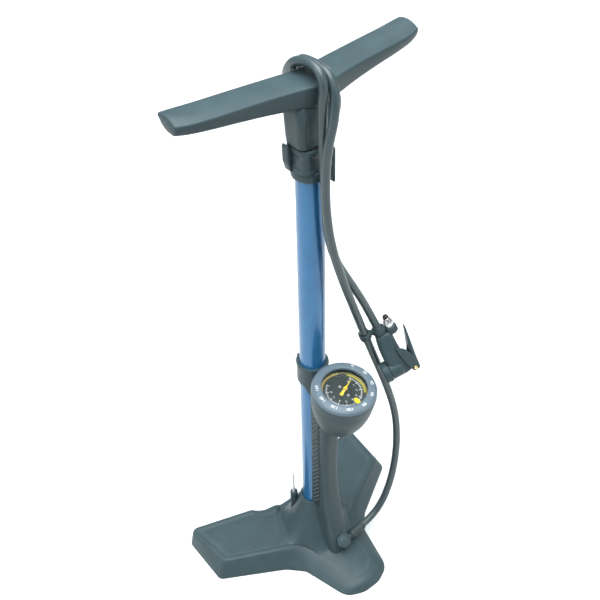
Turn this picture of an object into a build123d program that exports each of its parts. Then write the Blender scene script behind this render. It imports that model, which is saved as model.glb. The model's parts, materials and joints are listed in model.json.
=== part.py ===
from build123d import *
import math
import os

os.makedirs("parts", exist_ok=True)

# Floor bike pump. Millimetres, +Z up, origin on the floor at the barrel's axis.
# +X runs along the handle, -Y is the front with the gauge and the hose fitting, +Y is the rider's side.

# ---- driving dimensions -------------------------------------------------------------------------
barrel_r = 14.5
barrel_wall = 1.2
barrel_bottom = 30.0
barrel_top = 586.0
bore_r = barrel_r - barrel_wall

sole_wall = 3.0
foot_height = 25.0
boss_top = 80.0
boss_r = 17.5
socket_floor = 24.0

rod_r = 5.0
piston_bottom = 92.0
piston_height = 20.0
handle_stroke = 430.0
running_gap = 0.05

neck_bottom = 604.0
handle_half = 138.0

cap_bottom = 566.0
cap_top = 602.0
cap_r = 18.5

hose_r = 4.5

gauge_tilt = 8.0
gauge_centre = (0.0, -54.2, 315.4)
bezel_r = 36.4
window_r = 25.2

gauge_plane = Plane(
    origin=gauge_centre,
    x_dir=(1, 0, 0),
    z_dir=(0, -math.sin(math.radians(gauge_tilt)), math.cos(math.radians(gauge_tilt))),
)

fitting_centre = Vector(0, -52, 33)
fitting_plane = Plane(origin=fitting_centre, x_dir=(1, 0, 0), z_dir=(0, -0.7071, 0.7071))
hose_exit = Vector(38, -52, 33)

# The head hangs from the hose's far end: hose_end is where the hose meets its ferrule.
hose_end = Vector(61.7, -37, 357.3)
head_down = Vector(0.2506, -0.3509, -0.9023).normalized()
head_across = Vector(0.8690, -0.3292, 0.3694)
head_across = (head_across - head_down * head_across.dot(head_down)).normalized()
head_plane = Plane(origin=hose_end, x_dir=head_across, z_dir=head_down.cross(head_across))


def revolved(outline, plane=Plane.XZ, axis=Axis.Z):
    """Closed (radius, height) outline turned a full circle about the axis."""
    with BuildPart() as turned:
        with BuildSketch(plane):
            with BuildLine():
                Polyline(*outline, close=True)
            make_face()
        revolve(axis=axis)
    return turned.part


def gauge_turned(outline):
    """Outline of revolution about the gauge's own axis, heights measured from the bezel's widest circle."""
    plane = Plane(origin=gauge_plane.origin, x_dir=gauge_plane.x_dir, z_dir=-gauge_plane.y_dir)
    return revolved(outline, plane, Axis(gauge_plane.origin, gauge_plane.z_dir))


# ---- base ---------------------------------------------------------------------------------------
# Half outlines of the three-footed base, from the front tip round the right foot to the back.
rim_half = [(22, -113), (32, -99), (50, -43), (68, -24), (142, 19), (140, 95), (58, 68), (42, 59), (20, 55)]
top_half = [(15, -101), (23, -90), (38, -37), (58, -13), (128, 30), (128, 81), (60, 59), (44, 50), (20, 46)]
corner_radii = [10, 12, 16, 30, 9, 9, 20, 20, 10]


def base_outline(half, radii, inset=0.0):
    """Mirrored closed outline with rounded corners, moved inwards by the wall."""
    points = half + [(-x, y) for x, y in reversed(half)]
    rounds = radii + list(reversed(radii))
    with BuildSketch(Plane.XY) as outline:
        with BuildLine():
            FilletPolyline(*points, radius=rounds, close=True)
        make_face()
    if inset == 0:
        return outline.sketch
    with BuildSketch(Plane.XY) as inner:
        add(outline.sketch)
        offset(amount=-inset, kind=Kind.INTERSECTION, mode=Mode.REPLACE)
    return inner.sketch


def foot_body(lower, upper, z_low, z_high):
    """Skirted foot between its floor outline and its narrower top outline."""
    with BuildPart() as feet:
        with BuildSketch(Plane.XY.offset(z_low)):
            add(lower)
        with BuildSketch(Plane.XY.offset(z_high)):
            add(upper)
        loft(ruled=True)
        # the front foot falls away towards its tip
        with BuildSketch(Plane.YZ):
            with BuildLine():
                Polyline((-40, z_high), (-130, z_high - 15), (-130, 90), (-40, 90), close=True)
            make_face()
        extrude(amount=90, both=True, mode=Mode.SUBTRACT)
    return feet.part


boss_outline = [(0, 8), (52, 8), (50, 25), (36, 40), (25, 58), (20.5, 70), (boss_r, boss_top), (0, boss_top)]

rim = base_outline(rim_half, corner_radii)
top = base_outline(top_half, corner_radii)
rim_inner = base_outline(rim_half, corner_radii, sole_wall)
top_inner = base_outline(top_half, corner_radii, 2.0)
base_solid = foot_body(rim, top, 0, foot_height)
boss_solid = revolved(boss_outline)

with BuildPart() as base_form:
    add(base_solid)
    add(boss_solid)

with BuildPart() as base:
    add(base_form.part)
    add(foot_body(rim_inner, top_inner, -0.01, foot_height - sole_wall), mode=Mode.SUBTRACT)
    add(revolved([(17.6, 21), (44, 21), (32, 36), (22, 52), (17.6, 60)]), mode=Mode.SUBTRACT)
    # socket tower, its floor and the ribs under it
    with BuildSketch(Plane.XY.offset(6)):
        Circle(17.6)
    extrude(amount=socket_floor - 6)
    with BuildSketch(Plane.XY.offset(6)):
        Circle(10)
    extrude(amount=12, mode=Mode.SUBTRACT)
    with BuildSketch(Plane.XY.offset(barrel_bottom)):
        Circle(barrel_r)
    extrude(amount=boss_top - barrel_bottom + 1, mode=Mode.SUBTRACT)
    with BuildSketch(Plane.XY.offset(0)):
        Circle(3.0)
    extrude(amount=60, mode=Mode.SUBTRACT)
    # the hose fitting's bolt reaches into the front of the boss
    with BuildSketch(fitting_plane.offset(-5)):
        Circle(3.0)
    extrude(amount=-8, mode=Mode.SUBTRACT)
base.part.label = "base"
export_step(base.part, "parts/base.step")

# ---- barrel and its bottom valve block ----------------------------------------------------------
with BuildPart() as barrel:
    with BuildSketch(Plane.XY.offset(barrel_bottom)):
        Circle(barrel_r)
        Circle(bore_r, mode=Mode.SUBTRACT)
    extrude(amount=barrel_top - barrel_bottom)
barrel.part.label = "barrel"
export_step(barrel.part, "parts/barrel.step")

plug_top = 62.0
with BuildPart() as barrel_plug:
    add(revolved([
        (3.0, barrel_bottom), (bore_r, barrel_bottom), (bore_r, 46), (11.3, 46), (11.3, 49), (bore_r, 49),
        (bore_r, plug_top), (2.5, plug_top), (2.5, 58), (6.5, 58), (6.5, 44), (3.0, 44),
    ]))
barrel_plug.part.label = "barrel_plug"
export_step(barrel_plug.part, "parts/barrel_plug.step")

with BuildPart() as plug_seal:
    add(revolved([(11.3, 46.2), (bore_r, 46.2), (bore_r, 48.8), (11.3, 48.8)]))
plug_seal.part.label = "plug_seal"
export_step(plug_seal.part, "parts/plug_seal.step")

with BuildPart() as base_bolt:
    with BuildSketch(Plane.XY.offset(12)):
        RegularPolygon(5.5, 6)
    extrude(amount=4.5)
    with BuildSketch(Plane.XY.offset(16.5)):
        Circle(3.0)
    extrude(amount=26)
base_bolt.part.label = "base_bolt"
export_step(base_bolt.part, "parts/base_bolt.step")

with BuildPart() as base_washer:
    with BuildSketch(Plane.XY.offset(16.5)):
        Circle(8.5)
        Circle(3.0, mode=Mode.SUBTRACT)
    extrude(amount=1.5)
base_washer.part.label = "base_washer"
export_step(base_washer.part, "parts/base_washer.step")

valve_travel = 1.5
with BuildPart() as check_valve:
    with BuildSketch(Plane.XY.offset(55.4)):
        Circle(5.5)
    extrude(amount=2.5)
    with BuildSketch(Plane.XY.offset(50)):
        Circle(1.6)
    extrude(amount=5.4)
check_valve.part.label = "check_valve"
export_step(check_valve.part, "parts/check_valve.step")

with BuildPart() as valve_spring:
    with BuildLine():
        Helix(pitch=2.2, height=9.6, radius=4.0, center=(0, 0, 45.2))
    with BuildSketch(Plane(origin=(4.0, 0, 45.2), z_dir=(0, 1, 0.0875))):
        Circle(0.45)
    sweep()
valve_spring.part.label = "valve_spring"
export_step(valve_spring.part, "parts/valve_spring.step")

# ---- top cap, rod guide and seals ---------------------------------------------------------------
with BuildPart() as top_cap:
    add(revolved([
        (barrel_r, cap_bottom), (17.6, cap_bottom), (cap_r, 569), (cap_r, 577), (17.8, 578.5), (17.8, 592),
        (cap_r, 594), (cap_r, 599), (16.5, cap_top), (8.0, cap_top), (8.0, 598), (12.5, 598),
        (12.5, barrel_top), (barrel_r, barrel_top),
    ]))
    # upright lug on the left, hose hook on the right
    with BuildSketch(Plane.XZ):
        with BuildLine():
            Polyline((-17.3, 579), (-21, 577.5), (-28.3, 592), (-28.3, 607), (-25.2, 607), (-24.4, 596),
                     (-17.3, 593), close=True)
        make_face()
        with BuildLine():
            Polyline((17.3, 592), (24, 592), (31.2, 582), (31.2, 548), (28.0, 548), (26.8, 576), (22.5, 582),
                     (17.3, 582), close=True)
        make_face()
    extrude(amount=4.5, both=True)
top_cap.part.label = "top_cap"
export_step(top_cap.part, "parts/top_cap.step")

with BuildPart() as cap_bushing:
    add(revolved([
        (rod_r + running_gap, 560), (bore_r - 0.02, 560), (bore_r - 0.02, barrel_top), (12.5, barrel_top),
        (12.5, 594), (rod_r + running_gap, 594),
    ]))
cap_bushing.part.label = "cap_bushing"
export_step(cap_bushing.part, "parts/cap_bushing.step")

with BuildPart() as rod_wiper:
    add(revolved([(rod_r + running_gap, 594), (12.4, 594), (12.4, 597.5), (rod_r + running_gap, 597.5)]))
rod_wiper.part.label = "rod_wiper"
export_step(rod_wiper.part, "parts/rod_wiper.step")

# ---- piston and rod -----------------------------------------------------------------------------
piston_top = piston_bottom + piston_height
with BuildPart() as piston:
    add(revolved([
        (3.0, piston_bottom), (12.9, piston_bottom), (12.9, 98), (10.6, 98), (10.6, 102.5), (12.9, 102.5),
        (12.9, piston_top), (3.0, piston_top),
    ]))
piston.part.label = "piston"
export_step(piston.part, "parts/piston.step")

with BuildPart() as piston_seal:
    add(revolved([(10.6, 98.2), (12.6, 98.2), (bore_r - running_gap, 100.3), (12.6, 102.3), (10.6, 102.3)]))
piston_seal.part.label = "piston_seal"
export_step(piston_seal.part, "parts/piston_seal.step")

with BuildPart() as piston_nut:
    with BuildSketch(Plane.XY.offset(piston_bottom - 6.5)):
        RegularPolygon(6, 6)
        Circle(3.0, mode=Mode.SUBTRACT)
    extrude(amount=5.3)
piston_nut.part.label = "piston_nut"
export_step(piston_nut.part, "parts/piston_nut.step")

with BuildPart() as piston_washer:
    with BuildSketch(Plane.XY.offset(piston_bottom - 1.2)):
        Circle(7.5)
        Circle(3.0, mode=Mode.SUBTRACT)
    extrude(amount=1.2)
piston_washer.part.label = "piston_washer"
export_step(piston_washer.part, "parts/piston_washer.step")

rod_top = 652.0
with BuildPart() as piston_rod:
    with BuildSketch(Plane.XY.offset(piston_bottom - 8)):
        Circle(3.0)
    extrude(amount=piston_height + 8)
    with BuildSketch(Plane.XY.offset(piston_top)):
        Circle(rod_r)
    extrude(amount=rod_top - piston_top)
    with BuildSketch(Plane.XZ.offset(-20)):
        with Locations((0, 632)):
            Circle(2.5)
    extrude(amount=40, mode=Mode.SUBTRACT)
piston_rod.part.label = "piston_rod"
export_step(piston_rod.part, "parts/piston_rod.step")

with BuildPart() as top_bumper:
    add(revolved([(rod_r, piston_top), (10.5, piston_top), (10.5, piston_top + 9), (rod_r, piston_top + 9)]))
top_bumper.part.label = "top_bumper"
export_step(top_bumper.part, "parts/top_bumper.step")

# ---- handle -------------------------------------------------------------------------------------
# Wing sections across the handle: front top, front bottom, rear top, rear bottom, crown and belly points.
handle_sections = [
    # x, (front y, z), (low y, z), (rear y, z), rear edge height, crown z, belly z
    (0.0, (-26.0, 671.0), (-22.5, 645.0), (12.0, 670.5), 8.0, 675.5, 646.0),
    (50.0, (-14.0, 669.5), (-9.5, 650.0), (18.5, 671.0), 6.5, 675.0, 652.5),
    (handle_half, (2.4, 668.4), (6.6, 656.4), (29.0, 671.5), 4.5, 674.2, 659.0),
]


def handle_face(section):
    """One wing section on its own plane across the handle."""
    x, front, low, rear, edge, crown, belly = section
    middle = (front[0] + rear[0]) / 2
    with BuildSketch(Plane.YZ.offset(x)) as face:
        with BuildLine():
            ThreePointArc(rear, (middle, crown), front)
            Line(front, low)
            ThreePointArc(low, (middle + 2, belly), (rear[0], rear[1] - edge))
            Line((rear[0], rear[1] - edge), rear)
        make_face()
    return face.sketch


with BuildPart() as handle_grip:
    add(handle_face(handle_sections[0]))
    add(handle_face(handle_sections[1]))
    add(handle_face(handle_sections[2]))
    loft()
    mirror(about=Plane.YZ)
    # neck down to the cap
    with BuildSketch(Plane.XY.offset(neck_bottom)):
        with Locations((0, -1)):
            RectangleRounded(39, 29, 7)
    with BuildSketch(Plane.XY.offset(654)):
        with Locations((0, -6)):
            RectangleRounded(49, 35, 7)
    loft()
    with BuildSketch(Plane.XY.offset(neck_bottom)):
        Circle(rod_r + 0.02)
    extrude(amount=rod_top - neck_bottom + 0.5, mode=Mode.SUBTRACT)
    with BuildSketch(Plane.XZ.offset(-40)):
        with Locations((0, 632)):
            Circle(2.5)
    extrude(amount=80, mode=Mode.SUBTRACT)
handle_grip.part.label = "handle_grip"
export_step(handle_grip.part, "parts/handle_grip.step")

with BuildPart() as handle_bolt:
    with BuildSketch(Plane.XZ.offset(-14.5)):
        with Locations((0, 632)):
            Circle(2.5)
    extrude(amount=31)
handle_bolt.part.label = "handle_bolt"
export_step(handle_bolt.part, "parts/handle_bolt.step")

# ---- gauge column, clamp and casing -------------------------------------------------------------
column_r = 12.0
column_y = -26.0


def column_section(centre_y, radius, z):
    """Round-fronted section reaching back to the barrel."""
    with BuildSketch(Plane.XY.offset(z)) as section:
        with Locations((0, centre_y)):
            Circle(radius)
        with Locations((0, centre_y / 2)):
            Rectangle(2 * radius - 1.5, -centre_y)
    return section.sketch


housing_outline = [
    (0, -73), (9, -71), (18, -63), (26, -50), (32, -35), (35.0, -20), (35.4, -12.4), (30.0, -12.4),
    (30.0, 0.4), (0, 0.4),
]
housing_solid = gauge_turned(housing_outline)

with BuildPart() as gauge_column:
    add(column_section(column_y, column_r, 100))
    extrude(amount=172)
    add(column_section(column_y, column_r, 100))
    add(column_section(-43, 15, 12))
    loft(ruled=True)
    add(base_form.part, mode=Mode.SUBTRACT)
    add(housing_solid, mode=Mode.SUBTRACT)
    with BuildSketch(Plane.XY.offset(0)):
        Circle(barrel_r)
    extrude(amount=300, mode=Mode.SUBTRACT)
    # flat pad for the hose fitting
    with BuildSketch(fitting_plane.offset(-5)):
        Rectangle(34, 34)
    extrude(amount=40, mode=Mode.SUBTRACT)
    with BuildSketch(Plane.XY.offset(40)):
        with Locations((0, -29)):
            Circle(3.0)
    extrude(amount=240, mode=Mode.SUBTRACT)
    with BuildSketch(fitting_plane.offset(-5)):
        Circle(3.0)
    extrude(amount=-14, mode=Mode.SUBTRACT)
gauge_column.part.label = "gauge_column"
export_step(gauge_column.part, "parts/gauge_column.step")

with BuildPart() as gauge_housing:
    add(housing_solid)
    add(gauge_turned([
        (0, 2), (27.5, 2), (27.5, -1.6), (25.8, -1.6), (25.8, -20), (22, -40), (12, -52), (0, -52),
    ]), mode=Mode.SUBTRACT)
    add(gauge_turned([(0, -78), (4.0, -78), (4.0, -40), (0, -40)]), mode=Mode.SUBTRACT)
gauge_housing.part.label = "gauge_housing"
export_step(gauge_housing.part, "parts/gauge_housing.step")

with BuildPart() as gauge_stem:
    add(gauge_turned([(2.0, -64), (4.0, -64), (4.0, -46), (2.0, -46)]))
gauge_stem.part.label = "gauge_stem"
export_step(gauge_stem.part, "parts/gauge_stem.step")

with BuildPart() as gauge_movement:
    with BuildSketch(gauge_plane.offset(-46)):
        Rectangle(14, 12)
    extrude(amount=33.6)
    with BuildSketch(gauge_plane.offset(-12.4)):
        Rectangle(24, 16)
    extrude(amount=4)
    with BuildSketch(gauge_plane.offset(-8.4)):
        Circle(4)
    extrude(amount=2.8)
    with BuildSketch(gauge_plane.offset(-16)):
        Circle(1.2)
    extrude(amount=12, mode=Mode.SUBTRACT)
gauge_movement.part.label = "gauge_movement"
export_step(gauge_movement.part, "parts/gauge_movement.step")

with BuildPart() as bourdon_tube:
    with BuildSketch(gauge_plane.offset(-30)) as bourdon_ring:
        Circle(17)
        Circle(14.5, mode=Mode.SUBTRACT)
        with Locations((0, -12)):
            Rectangle(20, 16, mode=Mode.SUBTRACT)
    extrude(amount=7)
    with BuildSketch(gauge_plane.offset(-28)):
        with Locations((10.8, 0)):
            Rectangle(7.6, 4)
    extrude(amount=4)
bourdon_tube.part.label = "bourdon_tube"
export_step(bourdon_tube.part, "parts/bourdon_tube.step")

dial_top = -4.8
with BuildPart() as gauge_dial:
    with BuildSketch(gauge_plane.offset(dial_top - 0.8)):
        Circle(25.7)
        Circle(1.0, mode=Mode.SUBTRACT)
        with Locations((0, 7), (0, -7)):
            Circle(0.9, mode=Mode.SUBTRACT)
    extrude(amount=0.8)
gauge_dial.part.label = "gauge_dial"
export_step(gauge_dial.part, "parts/gauge_dial.step")

with BuildPart() as dial_screws:
    for side in (1, -1):
        with BuildSketch(gauge_plane.offset(-8.4)):
            with Locations((0, 7 * side)):
                Circle(0.9)
        extrude(amount=3.6)
        with BuildSketch(gauge_plane.offset(dial_top)):
            with Locations((0, 7 * side)):
                Circle(1.5)
        extrude(amount=0.6)
dial_screws.part.label = "dial_screws"
export_step(dial_screws.part, "parts/dial_screws.step")

# The pointer rests at zero, to the right of the dial, and reads clockwise.
rest_turn = math.radians(22.6)
pointer_plane = Plane(
    origin=gauge_plane.origin,
    x_dir=gauge_plane.x_dir * math.cos(rest_turn) + gauge_plane.y_dir * math.sin(rest_turn),
    z_dir=gauge_plane.z_dir,
)
with BuildPart() as gauge_needle:
    with BuildSketch(pointer_plane.offset(-3.6)):
        with BuildLine():
            Polyline((17.0, 0), (3.0, 2.2), (-8.0, 1.5), (-8.0, -1.5), (3.0, -2.2), close=True)
        make_face()
        Circle(2.6)
        Circle(0.9, mode=Mode.SUBTRACT)
    extrude(amount=0.7)
gauge_needle.part.label = "gauge_needle"
export_step(gauge_needle.part, "parts/gauge_needle.step")

with BuildPart() as needle_spindle:
    with BuildSketch(gauge_plane.offset(-14)):
        Circle(0.9)
    extrude(amount=11.1)
    with BuildSketch(gauge_plane.offset(-2.9)):
        Circle(1.7)
    extrude(amount=1.0)
needle_spindle.part.label = "needle_spindle"
export_step(needle_spindle.part, "parts/needle_spindle.step")

with BuildPart() as gauge_lens:
    with BuildSketch(gauge_plane.offset(-1.6)):
        Circle(27.4)
    extrude(amount=1.6)
gauge_lens.part.label = "gauge_lens"
export_step(gauge_lens.part, "parts/gauge_lens.step")

with BuildPart() as gauge_bezel:
    add(gauge_turned([
        (30.0 + running_gap, -12.2), (35.6, -12.2), (bezel_r, -5), (bezel_r, -1.5), (35.5, 1.4), (33.0, 3.2),
        (27.5, 4.2), (window_r, 3.2), (window_r, 0.8), (30.0 + running_gap, 0.8),
    ]))
gauge_bezel.part.label = "gauge_bezel"
export_step(gauge_bezel.part, "parts/gauge_bezel.step")

marker_turn = -92.0
with BuildPart() as bezel_marker:
    with BuildSketch(gauge_plane.offset(0.9)):
        with PolarLocations(window_r - 4, 1, start_angle=marker_turn):
            Rectangle(8.0, 4.4)
    extrude(amount=1.4)
    add(gauge_turned([(window_r, -2), (40, -2), (40, 4), (window_r, 4)]), mode=Mode.SUBTRACT)
bezel_marker.part.label = "bezel_marker"
export_step(bezel_marker.part, "parts/bezel_marker.step")

with BuildPart() as band_clamp:
    with BuildSketch(Plane.XY.offset(296)):
        Circle(17.0)
        with Locations((0, 19)):
            Rectangle(9, 9)
        Circle(barrel_r, mode=Mode.SUBTRACT)
        with Locations((0, 19)):
            Rectangle(1.6, 14, mode=Mode.SUBTRACT)
    extrude(amount=22)
    with BuildSketch(Plane.XY.offset(272)):
        Rectangle(19, 50)
    extrude(amount=24)
    with BuildSketch(Plane.XY.offset(270)):
        with Locations((0, 30)):
            Rectangle(80, 68)
    extrude(amount=26, mode=Mode.SUBTRACT)
    with BuildSketch(Plane.XY.offset(270)):
        Circle(barrel_r)
    extrude(amount=60, mode=Mode.SUBTRACT)
    add(housing_solid, mode=Mode.SUBTRACT)
    add(gauge_turned([(0, -80), (37.2, -80), (37.2, 12), (0, 12)]), mode=Mode.SUBTRACT)
    with BuildSketch(Plane.YZ.offset(-10)):
        with Locations((20.5, 307)):
            Circle(1.8)
    extrude(amount=20, mode=Mode.SUBTRACT)
band_clamp.part.label = "band_clamp"
export_step(band_clamp.part, "parts/band_clamp.step")

with BuildPart() as clamp_screw:
    with BuildSketch(Plane.YZ.offset(-6)):
        with Locations((20.5, 307)):
            Circle(1.8)
    extrude(amount=12)
    with BuildSketch(Plane.YZ.offset(4.5)):
        with Locations((20.5, 307)):
            Circle(3.2)
    extrude(amount=2.6)
    with BuildSketch(Plane.YZ.offset(-7)):
        with Locations((20.5, 307)):
            RegularPolygon(3.2, 6)
    extrude(amount=2.5)
clamp_screw.part.label = "clamp_screw"
export_step(clamp_screw.part, "parts/clamp_screw.step")

# ---- hose fitting at the column's foot ----------------------------------------------------------
with BuildPart() as hose_banjo:
    with BuildSketch(fitting_plane.offset(-4)):
        Circle(8.0)
        Circle(3.6, mode=Mode.SUBTRACT)
    extrude(amount=8)
    with BuildSketch(Plane(origin=fitting_centre + Vector(6.5, 0, 0), x_dir=(0, 1, 0), z_dir=(1, 0, 0))):
        Circle(3.4)
    extrude(amount=13.5)
hose_banjo.part.label = "hose_banjo"
export_step(hose_banjo.part, "parts/hose_banjo.step")

with BuildPart() as banjo_seals:
    for level in (-5.0, 4.0):
        with BuildSketch(fitting_plane.offset(level)):
            Circle(6.0)
            Circle(3.0, mode=Mode.SUBTRACT)
        extrude(amount=1.0)
banjo_seals.part.label = "banjo_seals"
export_step(banjo_seals.part, "parts/banjo_seals.step")

with BuildPart() as banjo_bolt:
    with BuildSketch(fitting_plane.offset(5.0)):
        RegularPolygon(7.4, 8)
    extrude(amount=5.5)
    chamfer(banjo_bolt.faces().sort_by(Axis(fitting_centre, fitting_plane.z_dir))[-1].edges(), 1.2)
    with BuildSketch(fitting_plane.offset(-10)):
        Circle(3.0)
    extrude(amount=15)
banjo_bolt.part.label = "banjo_bolt"
export_step(banjo_bolt.part, "parts/banjo_bolt.step")

with BuildPart() as base_ferrule:
    with BuildSketch(Plane(origin=(20, fitting_centre.Y, fitting_centre.Z), x_dir=(0, 1, 0), z_dir=(1, 0, 0))):
        Circle(6.0)
    extrude(amount=hose_exit.X - 21)
    fillet(base_ferrule.faces().sort_by(Axis.X)[0].edges(), 1.0)
base_ferrule.part.label = "base_ferrule"
export_step(base_ferrule.part, "parts/base_ferrule.step")

# ---- hose ---------------------------------------------------------------------------------------
# From the fitting up beside the barrel, over the handle, round a hanging bight behind it, back over the
# handle and down to the head.
hose_route = [
    hose_exit, (56, -51.5, 36.5), (74, -50.5, 52), (87, -49, 79), (94.5, -47.5, 114), (97, -46, 154),
    (93, -44, 203), (81, -39.5, 252), (66, -34.3, 300), (47, -33.5, 352), (30, -34, 400), (13, -34.4, 448),
    (-2, -34.1, 498), (-9.5, -34.1, 547), (-11, -35.5, 594), (-8.5, -37.5, 620), (-4.5, -39, 639),
    (-1.8, -38, 655), (0.3, -34.5, 669), (1, -25.5, 680), (1, -12, 682), (1, 1, 681.5), (2, 12, 679),
    (4.5, 19.5, 670.5), (6.5, 22, 656), (6.5, 24, 638), (7, 28, 621), (12, 33, 606), (23, 37, 597),
    (37, 38.5, 595), (50, 38.5, 600), (59, 37.5, 612), (60, 36, 628), (52, 34, 641), (38, 33, 648),
    (24, 33.5, 650), (10.5, 34, 652), (-0.5, 30.5, 657.5), (-6, 22, 668), (-8.5, 11, 680), (-8, -2, 686),
    (-7.5, -15, 687.5), (-8, -26.5, 683), (-9.5, -32.3, 671), (-9.7, -30, 654), (-7.5, -27.5, 627),
    (-4, -25.2, 594), (-1.5, -24.3, 550), (1.5, -24.2, 506), (12, -24.2, 468), (30, -25.4, 433),
    (45.5, -27.8, 401.5), (55.9, -29, 378.2),
    hose_end,
]


def tube_radii(points):
    """Largest tangent arc at each corner: 0.45 of the shorter run over the tangent of half the turn."""
    radii = []
    for before, corner, after in zip(points, points[1:], points[2:]):
        run_in = Vector(corner) - Vector(before)
        run_out = Vector(after) - Vector(corner)
        half_turn = math.radians(run_in.get_angle(run_out)) / 2
        radii.append(0.45 * min(run_in.length, run_out.length) / math.tan(half_turn))
    return radii


hose_radii = tube_radii(hose_route)
print("hose arc radii:", [round(radius) for radius in hose_radii])
with BuildPart() as hose:
    with BuildLine() as hose_path:
        FilletPolyline(*hose_route, radius=hose_radii)
    with BuildSketch(Plane(origin=hose_exit, z_dir=hose_path.line % 0)):
        Circle(hose_r)
    sweep()
hose_length = hose_path.wires()[0].length
hose_volume = math.pi * hose_r ** 2 * hose_length
print("hose length", round(hose_length, 1), "volume ratio", round(hose.part.volume / hose_volume, 4))
hose.part.label = "hose"
export_step(hose.part, "parts/hose.step")

# ---- pump head ----------------------------------------------------------------------------------
# In head_plane, x runs across the valve chamber and y runs up the hose.
chamber_y = -59.6
pin_x = 17.0
pin_y = -66.0


def across_plane(x, y):
    """Plane square to the valve chamber's axis, at a place on the head's middle plane."""
    return Plane(origin=head_plane.from_local_coords(Vector(x, y, 0)), x_dir=head_plane.z_dir,
                 z_dir=head_plane.x_dir)


def along_plane(x, y):
    """Plane square to the hose's axis, facing down the head."""
    return Plane(origin=head_plane.from_local_coords(Vector(x, y, 0)), x_dir=head_plane.x_dir,
                 z_dir=-head_plane.y_dir)


with BuildPart() as head_ferrule:
    with BuildSketch(along_plane(0, -0.1)):
        Circle(6.2)
    extrude(amount=11.9)
    fillet(head_ferrule.edges().filter_by(GeomType.CIRCLE).sort_by(Axis.Z)[-1], 1.0)
head_ferrule.part.label = "head_ferrule"
export_step(head_ferrule.part, "parts/head_ferrule.step")

strand_point = Vector(47.3, -33.5, 351.3)
strand_down = (Vector(66, -34.3, 300) - Vector(47, -33.5, 352)).normalized()
clip_plane = Plane(origin=strand_point, x_dir=(strand_point - hose_end).normalized(), z_dir=strand_down)
with BuildPart() as hose_clip:
    with BuildSketch(along_plane(0, -1)):
        Circle(7.4)
    extrude(amount=9)
    with BuildSketch(clip_plane.offset(-4)):
        Circle(7.0)
    extrude(amount=9)
    with BuildSketch(along_plane(-8.5, -1)):
        Rectangle(9, 4)
    extrude(amount=8)
    with BuildSketch(clip_plane.offset(-20)):
        Circle(5.2)
    extrude(amount=50, mode=Mode.SUBTRACT)
    with BuildSketch(clip_plane.offset(-20)):
        with Locations((8, 0)):
            Rectangle(10, 5.5)
    extrude(amount=50, mode=Mode.SUBTRACT)
    with BuildSketch(along_plane(0, 5)):
        Circle(6.2)
    extrude(amount=30, mode=Mode.SUBTRACT)
hose_clip.part.label = "hose_clip"
export_step(hose_clip.part, "parts/hose_clip.step")

with BuildPart() as head_body:
    with BuildSketch(head_plane):
        with BuildLine():
            Polyline((-6.5, -12), (12, -12), (17, -15), (15, -24), (11, -40), (10, -72), (-10.3, -72),
                     (-9.8, -47), (-6.5, -28), close=True)
        make_face()
    extrude(amount=7, both=True)
    with BuildSketch(across_plane(-10.3, chamber_y)):
        Circle(12.4)
    extrude(amount=20.3)
    with BuildSketch(head_plane):
        with BuildLine():
            Polyline((8, -54), (pin_x + 2, pin_y + 4.5), (pin_x + 4.6, pin_y - 1), (pin_x + 4, -71.5), (8, -71.5),
                     close=True)
        make_face()
    extrude(amount=4.5, both=True)
    with BuildSketch(across_plane(-11, chamber_y)):
        Circle(8.2)
    extrude(amount=19, mode=Mode.SUBTRACT)
    with BuildSketch(head_plane):
        with Locations((pin_x, pin_y)):
            Circle(1.6)
    extrude(amount=20, both=True, mode=Mode.SUBTRACT)
head_body.part.label = "head_body"
export_step(head_body.part, "parts/head_body.step")

with BuildPart() as nozzle_collar:
    with BuildSketch(across_plane(-19.5, chamber_y)):
        Circle(12.7)
        Circle(4.6, mode=Mode.SUBTRACT)
    extrude(amount=9.2)
    fillet(nozzle_collar.edges().filter_by(GeomType.CIRCLE).sort_by(SortBy.RADIUS)[-2:], 1.6)
nozzle_collar.part.label = "nozzle_collar"
export_step(nozzle_collar.part, "parts/nozzle_collar.step")

with BuildPart() as nozzle_seal:
    with BuildSketch(across_plane(-10.3, chamber_y)):
        Circle(8.1)
        Circle(4.2, mode=Mode.SUBTRACT)
    extrude(amount=7.5)
nozzle_seal.part.label = "nozzle_seal"
export_step(nozzle_seal.part, "parts/nozzle_seal.step")

plunger_travel = 3.0
with BuildPart() as head_plunger:
    with BuildSketch(across_plane(-2.8 + plunger_travel + 0.3, chamber_y)):
        Circle(8.15)
        Circle(3.2, mode=Mode.SUBTRACT)
    extrude(amount=6.5)
head_plunger.part.label = "head_plunger"
export_step(head_plunger.part, "parts/head_plunger.step")

chuck_x = 13.0
with BuildPart() as second_collar:
    with BuildSketch(along_plane(chuck_x, -3)):
        Circle(5.0)
    extrude(amount=9)
    fillet(second_collar.edges().filter_by(GeomType.CIRCLE).sort_by(Axis.Z)[-1], 1.0)
second_collar.part.label = "second_collar"
export_step(second_collar.part, "parts/second_collar.step")

with BuildPart() as second_chuck:
    with BuildSketch(along_plane(chuck_x, 7)):
        Circle(4.4)
        Circle(2.0, mode=Mode.SUBTRACT)
    extrude(amount=10)
    chamfer(second_chuck.edges().filter_by(GeomType.CIRCLE).sort_by(Axis.Z)[-1], 0.8)
second_chuck.part.label = "second_chuck"
export_step(second_chuck.part, "parts/second_chuck.step")

with BuildPart() as chuck_seal:
    with BuildSketch(along_plane(chuck_x, 10.5)):
        Circle(2.6)
        Circle(1.0, mode=Mode.SUBTRACT)
    extrude(amount=3.5)
chuck_seal.part.label = "chuck_seal"
export_step(chuck_seal.part, "parts/chuck_seal.step")

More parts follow.
